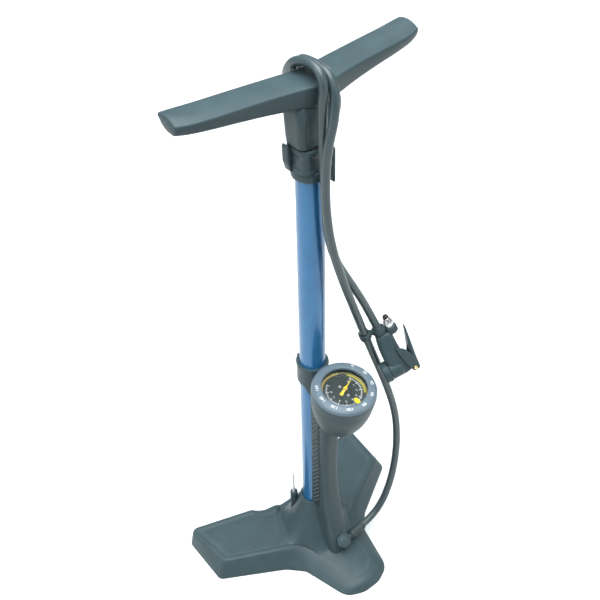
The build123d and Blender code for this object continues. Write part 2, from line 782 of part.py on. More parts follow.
# Lever: two cheeks on the pin, joined above the body's tongue by a blade that tapers to its tip.
with BuildPart() as lever:
    with BuildSketch(head_plane):
        with BuildLine():
            Polyline((11.5, pin_y), (13.5, -57), (17.5, -46), (25.5, -18), (27.2, -13), (28.2, -16), (22.8, -68),
                     (20.5, -71.5), (14, -71.5), close=True)
        make_face()
    extrude(amount=8.0, both=True)
    with BuildSketch(head_plane):
        with BuildLine():
            Polyline((5, -49), (19.5, -57.5), (25, -60), (25, -75), (5, -75), close=True)
        make_face()
    extrude(amount=4.6, both=True, mode=Mode.SUBTRACT)
    # the blade narrows towards its tip
    for side in (1, -1):
        with BuildSketch(across_plane(0, 0)):
            with BuildLine():
                Polyline((side * 2.6, -5), (side * 8.2, -52), (side * 12, -52), (side * 12, -5), close=True)
            make_face()
        extrude(amount=40, mode=Mode.SUBTRACT)
    with BuildSketch(head_plane):
        with Locations((pin_x, pin_y)):
            Circle(1.6 + running_gap)
    extrude(amount=20, both=True, mode=Mode.SUBTRACT)
lever.part.label = "lever"
export_step(lever.part, "parts/lever.step")

with BuildPart() as lever_pin:
    with BuildSketch(head_plane):
        with Locations((pin_x, pin_y)):
            Circle(1.6)
    extrude(amount=8.6, both=True)
lever_pin.part.label = "lever_pin"
export_step(lever_pin.part, "parts/lever_pin.step")

# ---- ball needle behind the boss ----------------------------------------------------------------
needle_x = -17.0
needle_y = 20.5
with BuildPart() as needle_holder:
    with BuildSketch(Plane.XY.offset(34)):
        with Locations((needle_x, needle_y)):
            Circle(4.4)
    extrude(amount=44)
    with BuildSketch(Plane.XY.offset(66)):
        with Locations((needle_x, needle_y)):
            Circle(2.7)
    extrude(amount=20, mode=Mode.SUBTRACT)
    add(base_form.part, mode=Mode.SUBTRACT)
needle_holder.part.label = "needle_holder"
export_step(needle_holder.part, "parts/needle_holder.step")

with BuildPart() as ball_needle:
    with BuildSketch(Plane.XY.offset(67)):
        with Locations((needle_x, needle_y)):
            Circle(2.6)
    extrude(amount=14)
    with BuildSketch(Plane.XY.offset(81)):
        with Locations((needle_x, needle_y)):
            Circle(0.9)
    extrude(amount=32)
ball_needle.part.label = "ball_needle"
export_step(ball_needle.part, "parts/ball_needle.step")
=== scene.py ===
import json
import math

import bmesh
import bpy
import numpy as np
from mathutils import Matrix, Vector


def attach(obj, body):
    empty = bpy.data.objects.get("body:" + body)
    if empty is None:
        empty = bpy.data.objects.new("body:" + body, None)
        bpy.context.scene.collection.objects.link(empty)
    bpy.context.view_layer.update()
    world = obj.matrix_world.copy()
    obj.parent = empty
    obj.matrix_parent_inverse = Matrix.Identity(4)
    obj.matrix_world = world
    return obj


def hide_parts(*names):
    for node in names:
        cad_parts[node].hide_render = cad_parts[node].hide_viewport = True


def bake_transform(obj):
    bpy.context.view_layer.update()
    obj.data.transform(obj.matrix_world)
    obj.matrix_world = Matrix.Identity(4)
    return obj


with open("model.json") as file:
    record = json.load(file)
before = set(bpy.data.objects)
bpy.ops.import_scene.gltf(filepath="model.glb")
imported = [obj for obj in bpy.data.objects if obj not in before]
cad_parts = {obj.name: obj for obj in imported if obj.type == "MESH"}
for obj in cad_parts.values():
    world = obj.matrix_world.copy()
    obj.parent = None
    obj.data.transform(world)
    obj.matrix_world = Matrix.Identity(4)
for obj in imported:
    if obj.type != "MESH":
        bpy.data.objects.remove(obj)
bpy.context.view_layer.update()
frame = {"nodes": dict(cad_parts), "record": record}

MM = 0.001
nodes = frame["nodes"]
scene = bpy.context.scene

# ---- camera ----
eye = (-0.47851, -0.58662, 1.06765)
back = Vector((-0.4668, -0.5916, 0.6573)).normalized()
roll = math.radians(-1.412)
level = Vector((0, 0, 1)).cross(back).normalized()
upright = back.cross(level)
cam_right = math.cos(roll) * level + math.sin(roll) * upright
cam_up = -math.sin(roll) * level + math.cos(roll) * upright
cam_data = bpy.data.cameras.new("camera")
cam_data.lens = 57.11
cam_data.sensor_width = 36
cam_data.clip_start = 0.05
camera = bpy.data.objects.new("camera", cam_data)
scene.collection.objects.link(camera)
camera.matrix_world = Matrix.Translation(eye) @ Matrix((cam_right, cam_up, back)).transposed().to_4x4()
scene.camera = camera


# ---- mesh tools (all sizes in millimetres) ----
def piece(name, verts, faces, material, body, slot, crease=35):
    """Mesh object from points in millimetres, riding on a body."""
    mesh = bpy.data.meshes.new(name)
    mesh.from_pydata([tuple(float(c) * MM for c in v) for v in verts], [], faces)
    mesh.validate()
    mesh.polygons.foreach_set("use_smooth", [True] * len(mesh.polygons))
    obj = bpy.data.objects.new(name, mesh)
    scene.collection.objects.link(obj)
    face_outwards(mesh)
    mesh.set_sharp_from_angle(angle=math.radians(crease))
    mesh.materials.append(material)
    if body:
        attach(obj, body)
    return obj


def face_outwards(mesh):
    """Make every face's normal point out of the closed mesh."""
    form = bmesh.new()
    form.from_mesh(mesh)
    bmesh.ops.recalc_face_normals(form, faces=form.faces)
    form.to_mesh(mesh)
    form.free()


def rounded(points, radii, steps=5, closed=True):
    """Polygon with each corner turned into an arc of its own radius."""
    count = len(points)
    if not hasattr(radii, "__len__"):
        radii = [radii] * count
    out = []
    for i, corner in enumerate(points):
        if not closed and i in (0, count - 1):
            out.append(tuple(corner))
            continue
        here = np.array(corner, float)
        before = np.array(points[i - 1], float) - here
        after = np.array(points[(i + 1) % count], float) - here
        len_a = np.linalg.norm(before)
        len_b = np.linalg.norm(after)
        before /= len_a
        after /= len_b
        half = math.acos(max(-1, min(1, float(before @ after)))) / 2
        reach = radii[i] / max(math.tan(half), 1e-6)
        reach = min(reach, 0.48 * len_a, 0.48 * len_b)
        radius = reach * math.tan(half)
        if radius < 1e-4 or abs(half - math.pi / 2) < 1e-4:
            out.extend([tuple(here)] * (steps + 1))
            continue
        bisect = (before + after) / np.linalg.norm(before + after)
        centre = here + bisect * (radius / math.sin(half))
        start = here + before * reach - centre
        stop = here + after * reach - centre
        sweep = math.pi - 2 * half
        for k in range(steps + 1):
            t = k / steps
            arm = (math.sin((1 - t) * sweep) * start + math.sin(t * sweep) * stop) / math.sin(sweep)
            out.append(tuple(centre + arm))
    return out


def with_runs(arcs, corner_points, parts, bow=None):
    """Outline with points along the runs between its corner arcs; bow is how far each run swells."""
    out = []
    for i in range(0, len(arcs), corner_points):
        out.extend(arcs[i:i + corner_points])
        here = np.array(arcs[i + corner_points - 1])
        run = np.array(arcs[(i + corner_points) % len(arcs)]) - here
        side = np.array((-run[1], run[0])) / np.linalg.norm(run)
        swell = bow[i // corner_points] if bow else 0
        for k in range(1, parts):
            t = k / parts
            out.append(tuple(here + run * t - side * swell * 4 * t * (1 - t)))
    return np.array(out)


def skin(rings, caps=True, loop=False):
    """Faces over a stack of rings with equal counts; caps are fans to the end rings' middles."""
    count = len(rings[0])
    verts = [tuple(p) for ring in rings for p in ring]
    faces = []
    for i in range(len(rings) if loop else len(rings) - 1):
        ahead = (i + 1) % len(rings) * count
        for j in range(count):
            k = (j + 1) % count
            faces.append((i * count + j, i * count + k, ahead + k, ahead + j))
    for end in (0, len(rings) - 1) if caps else ():
        verts.append(tuple(np.mean(np.array(rings[end], float), axis=0)))
        for j in range(count):
            faces.append((end * count + j, end * count + (j + 1) % count, len(verts) - 1))
    return verts, faces


def joined(parts):
    """Several skins as one set of points and faces."""
    verts, faces = [], []
    for more_verts, more_faces in parts:
        faces += [tuple(i + len(verts) for i in face) for face in more_faces]
        verts += more_verts
    return verts, faces


class Axes:
    """A local frame: origin, x and z directions."""

    def __init__(self, origin, x, z):
        self.o = np.array(origin, float)
        self.z = np.array(z, float) / np.linalg.norm(z)
        x = np.array(x, float) - self.z * float(np.dot(x, self.z))
        self.x = x / np.linalg.norm(x)
        self.y = np.cross(self.z, self.x)

    def at(self, x, y, z):
        return self.o + self.x * x + self.y * y + self.z * z


WORLD = Axes((0, 0, 0), (1, 0, 0), (0, 0, 1))


def turned(name, profile, material, body, slot, axes=WORLD, around=72, closed=False, wobble=None,
           soft=None, steps=3):
    """Solid of revolution from (radius, height) pairs, with corners rounded by the soft radii."""
    if soft is not None:
        profile = rounded(profile, soft, steps, closed)
    rings = []
    for radius, height in profile:
        ring = []
        for j in range(around):
            angle = 2 * math.pi * j / around
            r = radius + (wobble(angle, height) if wobble else 0)
            ring.append(axes.at(r * math.cos(angle), r * math.sin(angle), height))
        rings.append(ring)
    return piece(name, *skin(rings, caps=not closed, loop=closed), material, body, slot)


def unit_rows(rows):
    """Each row scaled to unit length."""
    return rows / (np.linalg.norm(rows, axis=1)[:, None] + 1e-9)


def side_normals(flat):
    """Unit normals of a closed outline's corners, to the left of its run."""
    ahead = unit_rows(np.roll(flat, -1, axis=0) - flat)
    behind = unit_rows(flat - np.roll(flat, 1, axis=0))
    heading = unit_rows(ahead + behind)
    return np.stack([-heading[:, 1], heading[:, 0]], axis=1)


def prism(name, outline, low, high, material, body, slot, axes=WORLD, edge=0.6, steps=3):
    """Extruded outline with rounded rims."""
    flat = np.array(outline, float)
    count = len(flat)
    area = np.sum(flat[:, 0] * np.roll(flat[:, 1], -1) - np.roll(flat[:, 0], -1) * flat[:, 1])
    inward = side_normals(flat) * (1 if area > 0 else -1)
    rims = []
    for k in range(steps + 1):
        turn = math.pi / 2 * k / steps
        rims.append((flat + inward * edge * (1 - math.sin(turn)), edge * (1 - math.cos(turn))))
    rings = [[axes.at(x, y, low + rise) for x, y in ring] for ring, rise in rims]
    rings += [[axes.at(x, y, high - rise) for x, y in ring] for ring, rise in reversed(rims)]
    verts, faces = skin(rings, caps=False)
    faces.append(tuple(range(count)))
    faces.append(tuple(range((len(rings) - 1) * count, len(rings) * count)))
    return piece(name, verts, faces, material, body, slot)


def tube(points, radius, around=16, taper=None):
    """Rings round a smooth line, without twist."""
    pts = [Vector(p) for p in points]
    side = (pts[1] - pts[0]).normalized().orthogonal().normalized()
    turns = [2 * math.pi * j / around for j in range(around)]
    rings = []
    for i, p in enumerate(pts):
        heading = (pts[min(i + 1, len(pts) - 1)] - pts[max(i - 1, 0)]).normalized()
        side = (side - heading * side.dot(heading)).normalized()
        other = heading.cross(side)
        r = radius * (taper(i / (len(pts) - 1)) if taper else 1)
        rings.append([p + side * (r * math.cos(a)) + other * (r * math.sin(a)) for a in turns])
    return rings


def smooth_step(low, high, value):
    """Ease from 0 at low to 1 at high; high may be the smaller of the two."""
    t = np.clip((value - low) / (high - low), 0, 1)
    return t * t * (3 - 2 * t)


def round_over(depth, reach, distance):
    """How far a quarter-round edge has drawn in, at a distance from the end."""
    return depth * (1 - math.sqrt(max(0, 1 - (1 - min(distance, reach) / reach) ** 2)))


# ---- materials ----
def fill(made, values):
    """Set a node's inputs or own settings by name, with _ for the spaces in an input's name."""
    for key, value in values.items():
        label = key.replace("_", " ")
        if label in made.inputs:
            made.inputs[label].default_value = value
        else:
            setattr(made, key, value)


class Recipe:
    """A node tree, with short ways to add nodes and to join them."""

    def __init__(self, owner, out="Object"):
        owner.use_nodes = True
        self.owner = owner
        self.tree = owner.node_tree
        self.place = self.add("TexCoord").outputs[out]

    def add(self, kind, **values):
        made = self.tree.nodes.new("ShaderNode" + kind)
        fill(made, values)
        return made

    def feed(self, source, target, label):
        self.tree.links.new(source, target.inputs[label])

    def noise(self, place=None, **values):
        made = self.add("TexNoise", **values)
        self.feed(place or self.place, made, "Vector")
        return made.outputs["Fac"]

    def cells(self, scale):
        made = self.add("TexVoronoi", Scale=scale)
        self.feed(self.place, made, "Vector")
        return made.outputs["Distance"]

    def stretched(self, scale):
        made = self.add("Mapping", Scale=scale)
        self.feed(self.place, made, "Vector")
        return made.outputs["Vector"]

    def ranged(self, source, low, high, start=0.0, stop=1.0):
        made = self.add("MapRange", From_Min=start, From_Max=stop, To_Min=low, To_Max=high)
        self.feed(source, made, "Value")
        return made.outputs["Result"]

    def ramp(self, source, dark, light, start=0.0, stop=1.0):
        made = self.add("ValToRGB")
        for element, position, colour in zip(made.color_ramp.elements, (start, stop), (dark, light)):
            element.position = position
            element.color = (*colour, 1)
        self.feed(source, made, "Fac")
        return made.outputs["Color"]

    def scaled_sum(self, source, factor, other):
        made = self.add("Math", operation="MULTIPLY_ADD")
        made.inputs[1].default_value = factor
        self.feed(source, made, 0)
        self.feed(other, made, 2)
        return made.outputs[0]

    def bump(self, height, strength, distance):
        made = self.add("Bump", Strength=strength, Distance=distance)
        self.feed(height, made, "Height")
        return made.outputs["Normal"]

    def finish(self, sources, **values):
        """Feed the material's shader from nodes and with plain values."""
        shader = self.tree.nodes["Principled BSDF"]
        fill(shader, values)
        for label, source in sources.items():
            self.feed(source, shader, label)
        return self.owner


def moulded(name, dark, light, rough=0.45, grain=0.12, grain_scale=1400.0, edge_wear_and_highlight=0.25, spec=0.5):
    """Moulded plastic or rubber: mottled colour, fine pitting, uneven sheen, and convex edges lightened,
    partly as scuffs and partly as a painted highlight.
    """
    recipe = Recipe(bpy.data.materials.new(name))
    cloud = recipe.noise(Scale=38.0, Detail=5.0, Roughness=0.6)
    fine = recipe.noise(Scale=grain_scale, Detail=3.0, Roughness=0.7)
    pits = recipe.cells(grain_scale * 0.55)
    worn_edge_and_highlight = recipe.add("Mix", data_type="RGBA")
    worn_edge_and_highlight.inputs["B"].default_value = (*[min(1, c * 2.0 + 0.02) for c in light], 1)
    # convex edges are lightened: partly scuffing, partly a painted edge highlight
    pointed = recipe.add("NewGeometry").outputs["Pointiness"]
    recipe.feed(recipe.ranged(pointed, 0, edge_wear_and_highlight, 0.52, 0.62), worn_edge_and_highlight, "Factor")
    recipe.feed(recipe.ramp(cloud, dark, light, 0.30, 0.72), worn_edge_and_highlight, "A")
    return recipe.finish({
        "Base Color": worn_edge_and_highlight.outputs["Result"],
        "Roughness": recipe.ranged(cloud, max(0.05, rough - 0.07), min(1, rough + 0.09)),
        "Normal": recipe.bump(recipe.scaled_sum(pits, 0.5, fine), grain, 0.0002),
    }, Specular_IOR_Level=spec)


def printed(name, dark, light, rough):
    """Printed or painted mark: smooth, with no lightened edges of wear or painted highlight."""
    return moulded(name, dark, light, rough=rough, grain=0.03, edge_wear_and_highlight=0.0)


def metal(name, colour, rough):
    """Machined or plated metal with fine tool lines, smudges and tiny scratches."""
    recipe = Recipe(bpy.data.materials.new(name))
    lines = recipe.noise(recipe.stretched((1, 1, 40)), Scale=220.0, Detail=4.0, Roughness=0.65)
    smudge = recipe.noise(Scale=60.0, Detail=3.0)
    dull = [c * 0.82 for c in colour]
    clean = [min(1, c * 1.06) for c in colour]
    return recipe.finish({
        "Base Color": recipe.ramp(smudge, dull, clean),
        "Roughness": recipe.ranged(lines, rough * 0.7, rough * 1.5),
        "Normal": recipe.bump(lines, 0.10, 0.0001),
    }, Metallic=1.0)


def lacquer(name, deep, bright):
    """Gloss metallic paint under clear lacquer, with flake, faint orange peel and hairline scuffs."""
    recipe = Recipe(bpy.data.materials.new(name))
    flake = recipe.cells(3200.0)
    cloud = recipe.noise(Scale=30.0, Detail=3.0)
    peel = recipe.noise(Scale=420.0, Detail=1.0)
    scuff = recipe.noise(recipe.stretched((1, 1, 0.06)), Scale=700.0, Detail=2.0, Roughness=0.8)
    return recipe.finish({
        "Base Color": recipe.ramp(recipe.scaled_sum(flake, 0.35, cloud), deep, bright, 0.2, 0.8),
        "Roughness": recipe.ranged(scuff, 0.30, 0.42, 0.35, 0.75),
        "Coat Normal": recipe.bump(peel, 0.02, 0.0002),
    }, Metallic=0.2, Coat_Weight=0.45, Coat_Roughness=0.05)


def clear_plastic(name):
    """Clear moulded lens with faint smears."""
    recipe = Recipe(bpy.data.materials.new(name))
    smear = recipe.noise(Scale=90.0, Detail=3.0)
    return recipe.finish({
        "Roughness": recipe.ranged(smear, 0.01, 0.06),
        "Normal": recipe.bump(smear, 0.01, 0.0002),
    }, Base_Color=(0.97, 0.99, 1.0, 1), Transmission_Weight=1.0, IOR=1.12)


slate = moulded("slate_moulding", (0.036, 0.064, 0.074), (0.047, 0.081, 0.093), rough=0.44, edge_wear_and_highlight=0.12,
                spec=0.3)
slate_dark = moulded("slate_shadow_moulding", (0.032, 0.054, 0.060), (0.044, 0.070, 0.078), rough=0.46,
                     spec=0.3)
bezel_grey = moulded("bezel_moulding", (0.108, 0.158, 0.195), (0.140, 0.196, 0.240), rough=0.36, grain=0.06,
                     spec=0.35)
black = moulded("black_moulding", (0.012, 0.018, 0.020), (0.020, 0.028, 0.030), rough=0.42, spec=0.3)
seal_rubber = moulded("seal_rubber", (0.012, 0.012, 0.013), (0.022, 0.022, 0.023), rough=0.62, grain=0.2)
hose_rubber = moulded("hose_rubber", (0.034, 0.060, 0.068), (0.046, 0.076, 0.086), rough=0.32, grain=0.05,
                      grain_scale=900.0, edge_wear_and_highlight=0.1, spec=0.55)
blue = lacquer("blue_lacquer", (0.008, 0.115, 0.29), (0.020, 0.175, 0.40))
steel = metal("zinc_steel", (0.58, 0.58, 0.59), rough=0.30)
bright = metal("bright_steel", (0.78, 0.78, 0.79), rough=0.12)
brass = metal("machined_brass", (0.80, 0.60, 0.26), rough=0.24)
yellow = printed("yellow_paint", (0.72, 0.50, 0.015), (0.86, 0.64, 0.03), rough=0.35)
white_ink = printed("white_ink", (0.74, 0.76, 0.77), (0.84, 0.86, 0.87), rough=0.5)
dial_card = moulded("dial_card", (0.020, 0.034, 0.034), (0.034, 0.050, 0.050), rough=0.55, grain=0.04,
                    edge_wear_and_highlight=0.0)
olive_ink = printed("olive_ink", (0.40, 0.36, 0.05), (0.50, 0.44, 0.07), rough=0.4)
gold_ink = printed("gold_ink", (0.42, 0.33, 0.09), (0.52, 0.42, 0.13), rough=0.4)
lens_clear = clear_plastic("lens_clear")

plain_finish = {
    "slate_plastic": slate, "bezel_plastic": bezel_grey, "black_plastic": black, "blue_paint": blue,
    "hose_rubber": hose_rubber, "black_rubber": seal_rubber, "steel": steel, "bright_steel": bright,
    "brass": brass, "dial_black": dial_card, "yellow_paint": yellow, "clear_lens": lens_clear,
}
for part in frame["record"]["subparts"]:
    for entry in nodes[part["node"]].material_slots:
        entry.material = plain_finish[part["material_slot"]]

# material, body and slot of the pieces that share them
pump_slate = (slate, "pump", "slate_plastic")
pump_shadow = (slate_dark, "pump", "slate_plastic")
handle_slate = (slate, "handle", "slate_plastic")
handle_shadow = (slate_dark, "handle", "black_plastic")
lever_slate = (slate, "lever", "slate_plastic")

# ---- hose ----
hose_route = [
    (0.038, -0.052, 0.033), (0.056, -0.0515, 0.0365), (0.074, -0.0505, 0.052), (0.087, -0.049, 0.079),
    (0.0945, -0.0475, 0.114), (0.097, -0.046, 0.154), (0.093, -0.044, 0.203), (0.081, -0.0395, 0.252),
    (0.066, -0.0343, 0.3), (0.047, -0.0335, 0.352), (0.03, -0.034, 0.4), (0.013, -0.0344, 0.448),
    (-0.002, -0.0341, 0.498), (-0.0095, -0.0341, 0.547), (-0.011, -0.0355, 0.594),
    (-0.0085, -0.0375, 0.62), (-0.0045, -0.039, 0.639), (-0.0018, -0.038, 0.655),
    (0.0003, -0.0345, 0.669), (0.001, -0.0255, 0.68), (0.001, -0.012, 0.682), (0.001, 0.001, 0.6815),
    (0.002, 0.012, 0.679), (0.0045, 0.0195, 0.6705), (0.0065, 0.022, 0.656), (0.0065, 0.024, 0.638),
    (0.007, 0.028, 0.621), (0.012, 0.033, 0.606), (0.023, 0.037, 0.597), (0.037, 0.0385, 0.595),
    (0.05, 0.0385, 0.6), (0.059, 0.0375, 0.612), (0.06, 0.036, 0.628), (0.052, 0.034, 0.641),
    (0.038, 0.033, 0.648), (0.024, 0.0335, 0.65), (0.0105, 0.034, 0.652), (-0.0005, 0.0305, 0.6575),
    (-0.006, 0.022, 0.668), (-0.0085, 0.011, 0.68), (-0.008, -0.002, 0.686),
    (-0.0075, -0.015, 0.6875), (-0.008, -0.0265, 0.683), (-0.0095, -0.0323, 0.671),
    (-0.0097, -0.03, 0.654), (-0.0075, -0.0275, 0.627), (-0.004, -0.0252, 0.594),
    (-0.0015, -0.0243, 0.55), (0.0015, -0.0242, 0.506), (0.012, -0.0242, 0.468),
    (0.03, -0.0254, 0.433), (0.0455, -0.0278, 0.4015), (0.0559, -0.029, 0.3782),
    (0.0617, -0.037, 0.3573),
]
curve = bpy.data.curves.new("hose_line", "CURVE")
curve.dimensions = "3D"
spline = curve.splines.new("NURBS")
spline.points.add(len(hose_route) - 1)
for point, place in zip(spline.points, hose_route):
    point.co = (*place, 1)
spline.order_u = 3
spline.use_endpoint_u = True
spline.resolution_u = 9
curve_object = bpy.data.objects.new("hose_line", curve)
scene.collection.objects.link(curve_object)
bpy.context.view_layer.update()
line_mesh = bpy.data.meshes.new_from_object(curve_object)
hose_line = [v.co.copy() for v in line_mesh.vertices]
bpy.data.objects.remove(curve_object)
hose_radius = 4.5
hose_skin = skin(tube([p / MM for p in hose_line], hose_radius, around=20))
hose = piece("hose_tube", *hose_skin, hose_rubber, None, None, crease=60)
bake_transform(hose)
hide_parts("hose")

# ---- base ----
rim_half = [(12, -113), (34, -103), (50, -43), (68, -24), (142, 19), (140, 95), (58, 68), (42, 59),
            (20, 55)]
top_half = [(10, -107), (28.5, -98), (42, -37), (57, -14), (130, 22.5), (139, 92.6), (54, 65),
            (42, 56), (20, 52)]
round_half = [30, 22, 16, 34, 9, 8.5, 20, 20, 10]
wall = 3.2
boss_foot = 52.0
boss_radius = 17.6
boss_height = 80.0


def foot_outline(half):
    """Closed outline of both halves: rounded corners with points along the straight runs."""
    points = half + [(-x, y) for x, y in reversed(half)]
    return with_runs(rounded(points, round_half + round_half[::-1], steps=8), 9, 10)


def past_plate(x, y):
    """Distance outwards from the curved step where the side feet's flat plates begin."""
    return np.abs(x) - (51.6 - 0.0078 * (y + 8) ** 2)


def foot_top(xy):
    """Height of the feet's upper face: flat side plates over a curved step, a falling front foot."""
    x, y = xy[:, 0], xy[:, 1]
    side = 25.3 - 6.7 * (1 - smooth_step(-9.0, 0.8, past_plate(x, y))) * smooth_step(-14, 14, y)
    front = 22.5 - 0.155 * np.clip(-40 - y, 0, 80) - 0.0075 * x ** 2
    share = smooth_step(-8, -46, y)
    return side * (1 - share) + front * share


def boss_share(r):
    """How far the boss has risen from the feet to the barrel's foot."""
    run = boss_foot - boss_radius
    return (np.clip(boss_foot - r, 0, run) / run) ** 1.75


def flat_ring(xy, z):
    """Points of a ring from its plan and its height, or the height of each point."""
    return list(np.column_stack([xy, np.broadcast_to(z, len(xy))]))


rim = foot_outline(rim_half)
top = foot_outline(top_half)
inward = side_normals(top)
if np.sum(inward * top) > 0:
    inward = -inward
top_z = foot_top(top)
side_foot = smooth_step(46, 58, np.abs(top[:, 0]))
# underside, from the middle out to the sole
sole_in = rim + inward * 3.0
roof = top + inward * 2.2
hub = roof / np.linalg.norm(roof, axis=1)[:, None] * 12
under = []
for share in (1.0, 0.8, 0.6, 0.4, 0.2, 0.0):
    xy = roof + (hub - roof) * share
    under.append(flat_ring(xy, np.minimum(foot_top(xy) - wall, 21.0)))
under.append(flat_ring(roof + (sole_in - roof) * 0.12, (top_z - wall) * 0.93))
under.append(flat_ring(sole_in, 0.8))
under.append(flat_ring(sole_in - inward * 0.5, 0.0))
# outside, from the sole up over the shoulder: crisp on the side feet, broad and soft on the front foot
outer = [flat_ring(rim + inward * 0.5, 0.0), flat_ring(rim, 0.7), flat_ring(rim + inward * 0.15, 2.4)]
foot_low = np.array(outer[-1])
shoulder = np.column_stack([top, top_z])
inner_xy = top + inward * (7.0 - 4.2 * side_foot)[:, None]
lip = np.column_stack([inner_xy, foot_top(inner_xy)])
start = foot_low + (shoulder - foot_low) * (0.55 + 0.27 * side_foot)[:, None]
for share in (0.25, 0.5, 0.75):
    outer.append(list(foot_low + (start - foot_low) * share))
for t in np.linspace(0, 1, 9):
    outer.append(list((1 - t) ** 2 * start + 2 * t * (1 - t) * shoulder + t ** 2 * lip))
panel = 0.5 * side_foot
for step, sink in ((2.2, 0.0), (0.9, 0.3), (0.9, 0.8), (0.9, 1.0)):
    inner_xy = inner_xy + inward * step
    outer.append(flat_ring(inner_xy, foot_top(inner_xy) - panel * sink))
# over the plates and up the boss to the barrel's seat
collar = inner_xy / np.linalg.norm(inner_xy, axis=1)[:, None] * boss_radius
boss_rings = 44
for k in range(boss_rings):
    xy = inner_xy + (collar - inner_xy) * (1 - (1 - k / (boss_rings - 1)) ** 1.7)
    flat = foot_top(xy) - panel * smooth_step(2.0, 5.0, past_plate(xy[:, 0], xy[:, 1]))
    outer.append(flat_ring(xy, flat + (boss_height - flat) * boss_share(np.linalg.norm(xy, axis=1))))
for radius, height in ((17.3, 80.6), (16.6, 81.0), (15.4, 80.9), (14.75, 80.2), (14.7, 60), (14.7, 30)):
    outer.append(flat_ring(collar / boss_radius * radius, height))
base_shell = piece("base_shell", *skin(under + outer), *pump_slate, crease=50)
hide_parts("base")
turned("base_tower", [(3.3, 18), (10, 18), (10, 6.8), (10.6, 6), (16.8, 6), (17.4, 6.8), (17.4, 22),
                      (3.3, 22)], *pump_shadow, closed=True)
rib_half = 0.9
side_ribs = [((16, 6), (122, 58)), ((17, 0), (60, 2)), ((14, 12), (50, 50)), ((60, 4), (60, 54)),
             ((92, 22), (92, 66))]
rib_plans = []
for side in (1, -1):
    for (ax, ay), (bx, by) in side_ribs:
        a = np.array((ax * side, ay), float)
        b = np.array((bx * side, by), float)
        way = (b - a) / np.linalg.norm(b - a)
        off = np.array((-way[1], way[0])) * rib_half
        rib_plans.append(([a - off, b - off, b + off, a + off], 4.0, 21.3))
for ax, bx in ((0, 0), (-8, -14), (8, 14)):
    plan = [(ax - rib_half, -16), (bx - rib_half, -88), (bx + rib_half, -88), (ax + rib_half, -16)]
    rib_plans.append((plan, 3.0, 14.0))
for number, (plan, low, high) in enumerate(rib_plans, start=1):
    prism(f"base_rib_{number}", plan, low, high, *pump_shadow, edge=0.3, steps=1)

# ---- barrel ----
barrel_radius = 14.5
barrel_bore = 13.3
barrel_low = 30
barrel_top = 586
barrel_shell = turned("barrel_tube", [
    (barrel_bore, barrel_low + 0.4), (barrel_bore + 0.4, barrel_low), (barrel_radius - 0.3, barrel_low),
    (barrel_radius, barrel_low + 0.4), *[(barrel_radius, z) for z in (120, 240, 360, 480)],
    (barrel_radius, barrel_top - 0.4), (barrel_radius - 0.3, barrel_top), (barrel_bore + 0.4, barrel_top),
    (barrel_bore, barrel_top - 0.4), (barrel_bore, 300)],
    blue, "pump", "blue_paint", around=96, closed=True)
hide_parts("barrel")


# ---- handle ----
def along(xs, ys, x):
    """Smooth curve through a few places (cubic, with limited overshoot)."""
    xs = np.array(xs, float)
    ys = np.array(ys, float)
    slope = np.gradient(ys, xs)
    i = int(np.clip(np.searchsorted(xs, x) - 1, 0, len(xs) - 2))
    h = xs[i + 1] - xs[i]
    t = np.clip((x - xs[i]) / h, 0, 1)
    a = (2 * t ** 3 - 3 * t ** 2 + 1) * ys[i] + (t ** 3 - 2 * t ** 2 + t) * h * slope[i]
    return a + (-2 * t ** 3 + 3 * t ** 2) * ys[i + 1] + (t ** 3 - t ** 2) * h * slope[i + 1]


def wing_section(x):
    """Closed (y, z) outline of the handle at a distance from its middle."""
    reach = abs(x)
    stations = (0, 25, 50, 80, 109, 128, 138)
    front_y = along(stations, (-26, -19.0, -13.8, -9.8, -6.2, -1.8, 2.4), reach)
    front_z = along(stations, (671.0, 670.0, 669.4, 669.2, 669.0, 668.7, 668.4), reach)
    low_y = along(stations, (-22, -15.5, -10.6, -6.2, -2.2, 2.4, 6.6), reach)
    low_z = along(stations, (645, 647.0, 649.4, 652.2, 654.6, 655.8, 656.4), reach)
    rear_y = along(stations, (12.0, 15.0, 18.2, 21.8, 25.2, 28.0, 29.2), reach)
    rear_z = along(stations, (670.5, 670.9, 671.1, 671.3, 671.4, 671.5, 671.5), reach)
    edge = along(stations, (8, 7.4, 6.6, 5.6, 5.0, 4.6, 4.4), reach)
    crown = along(stations, (1.8, 1.9, 2.1, 2.3, 2.5, 2.7, 2.8), reach)
    belly = along(stations, (1.5, 2.0, 2.6, 3.2, 3.4, 3.4, 3.4), reach)
    points = [(front_y, front_z), (low_y, low_z), (rear_y, rear_z - edge), (rear_y + 0.6, rear_z)]
    outline = rounded(points, [2.2, 3.2, 2.2, 2.0], steps=4)
    return with_runs(outline, 5, 10, bow=(0.35, belly, 0.35, crown))


rings = []
half_span = 138.0
tips = [half_span, half_span - 0.3, half_span - 0.9, half_span - 1.8]
for x in [-x for x in tips] + list(np.linspace(-134, 134, 81)) + tips[::-1]:
    section = wing_section(x)
    middle = section.mean(axis=0)
    arms = section - middle
    shrink = round_over(1.5, 1.8, half_span - abs(x)) / np.linalg.norm(arms, axis=1)[:, None]
    rings.append([(x, y, z) for y, z in middle + arms * (1 - shrink)])
handle_wing = piece("handle_wing", *skin(rings), *handle_slate, crease=50)
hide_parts("handle_grip")

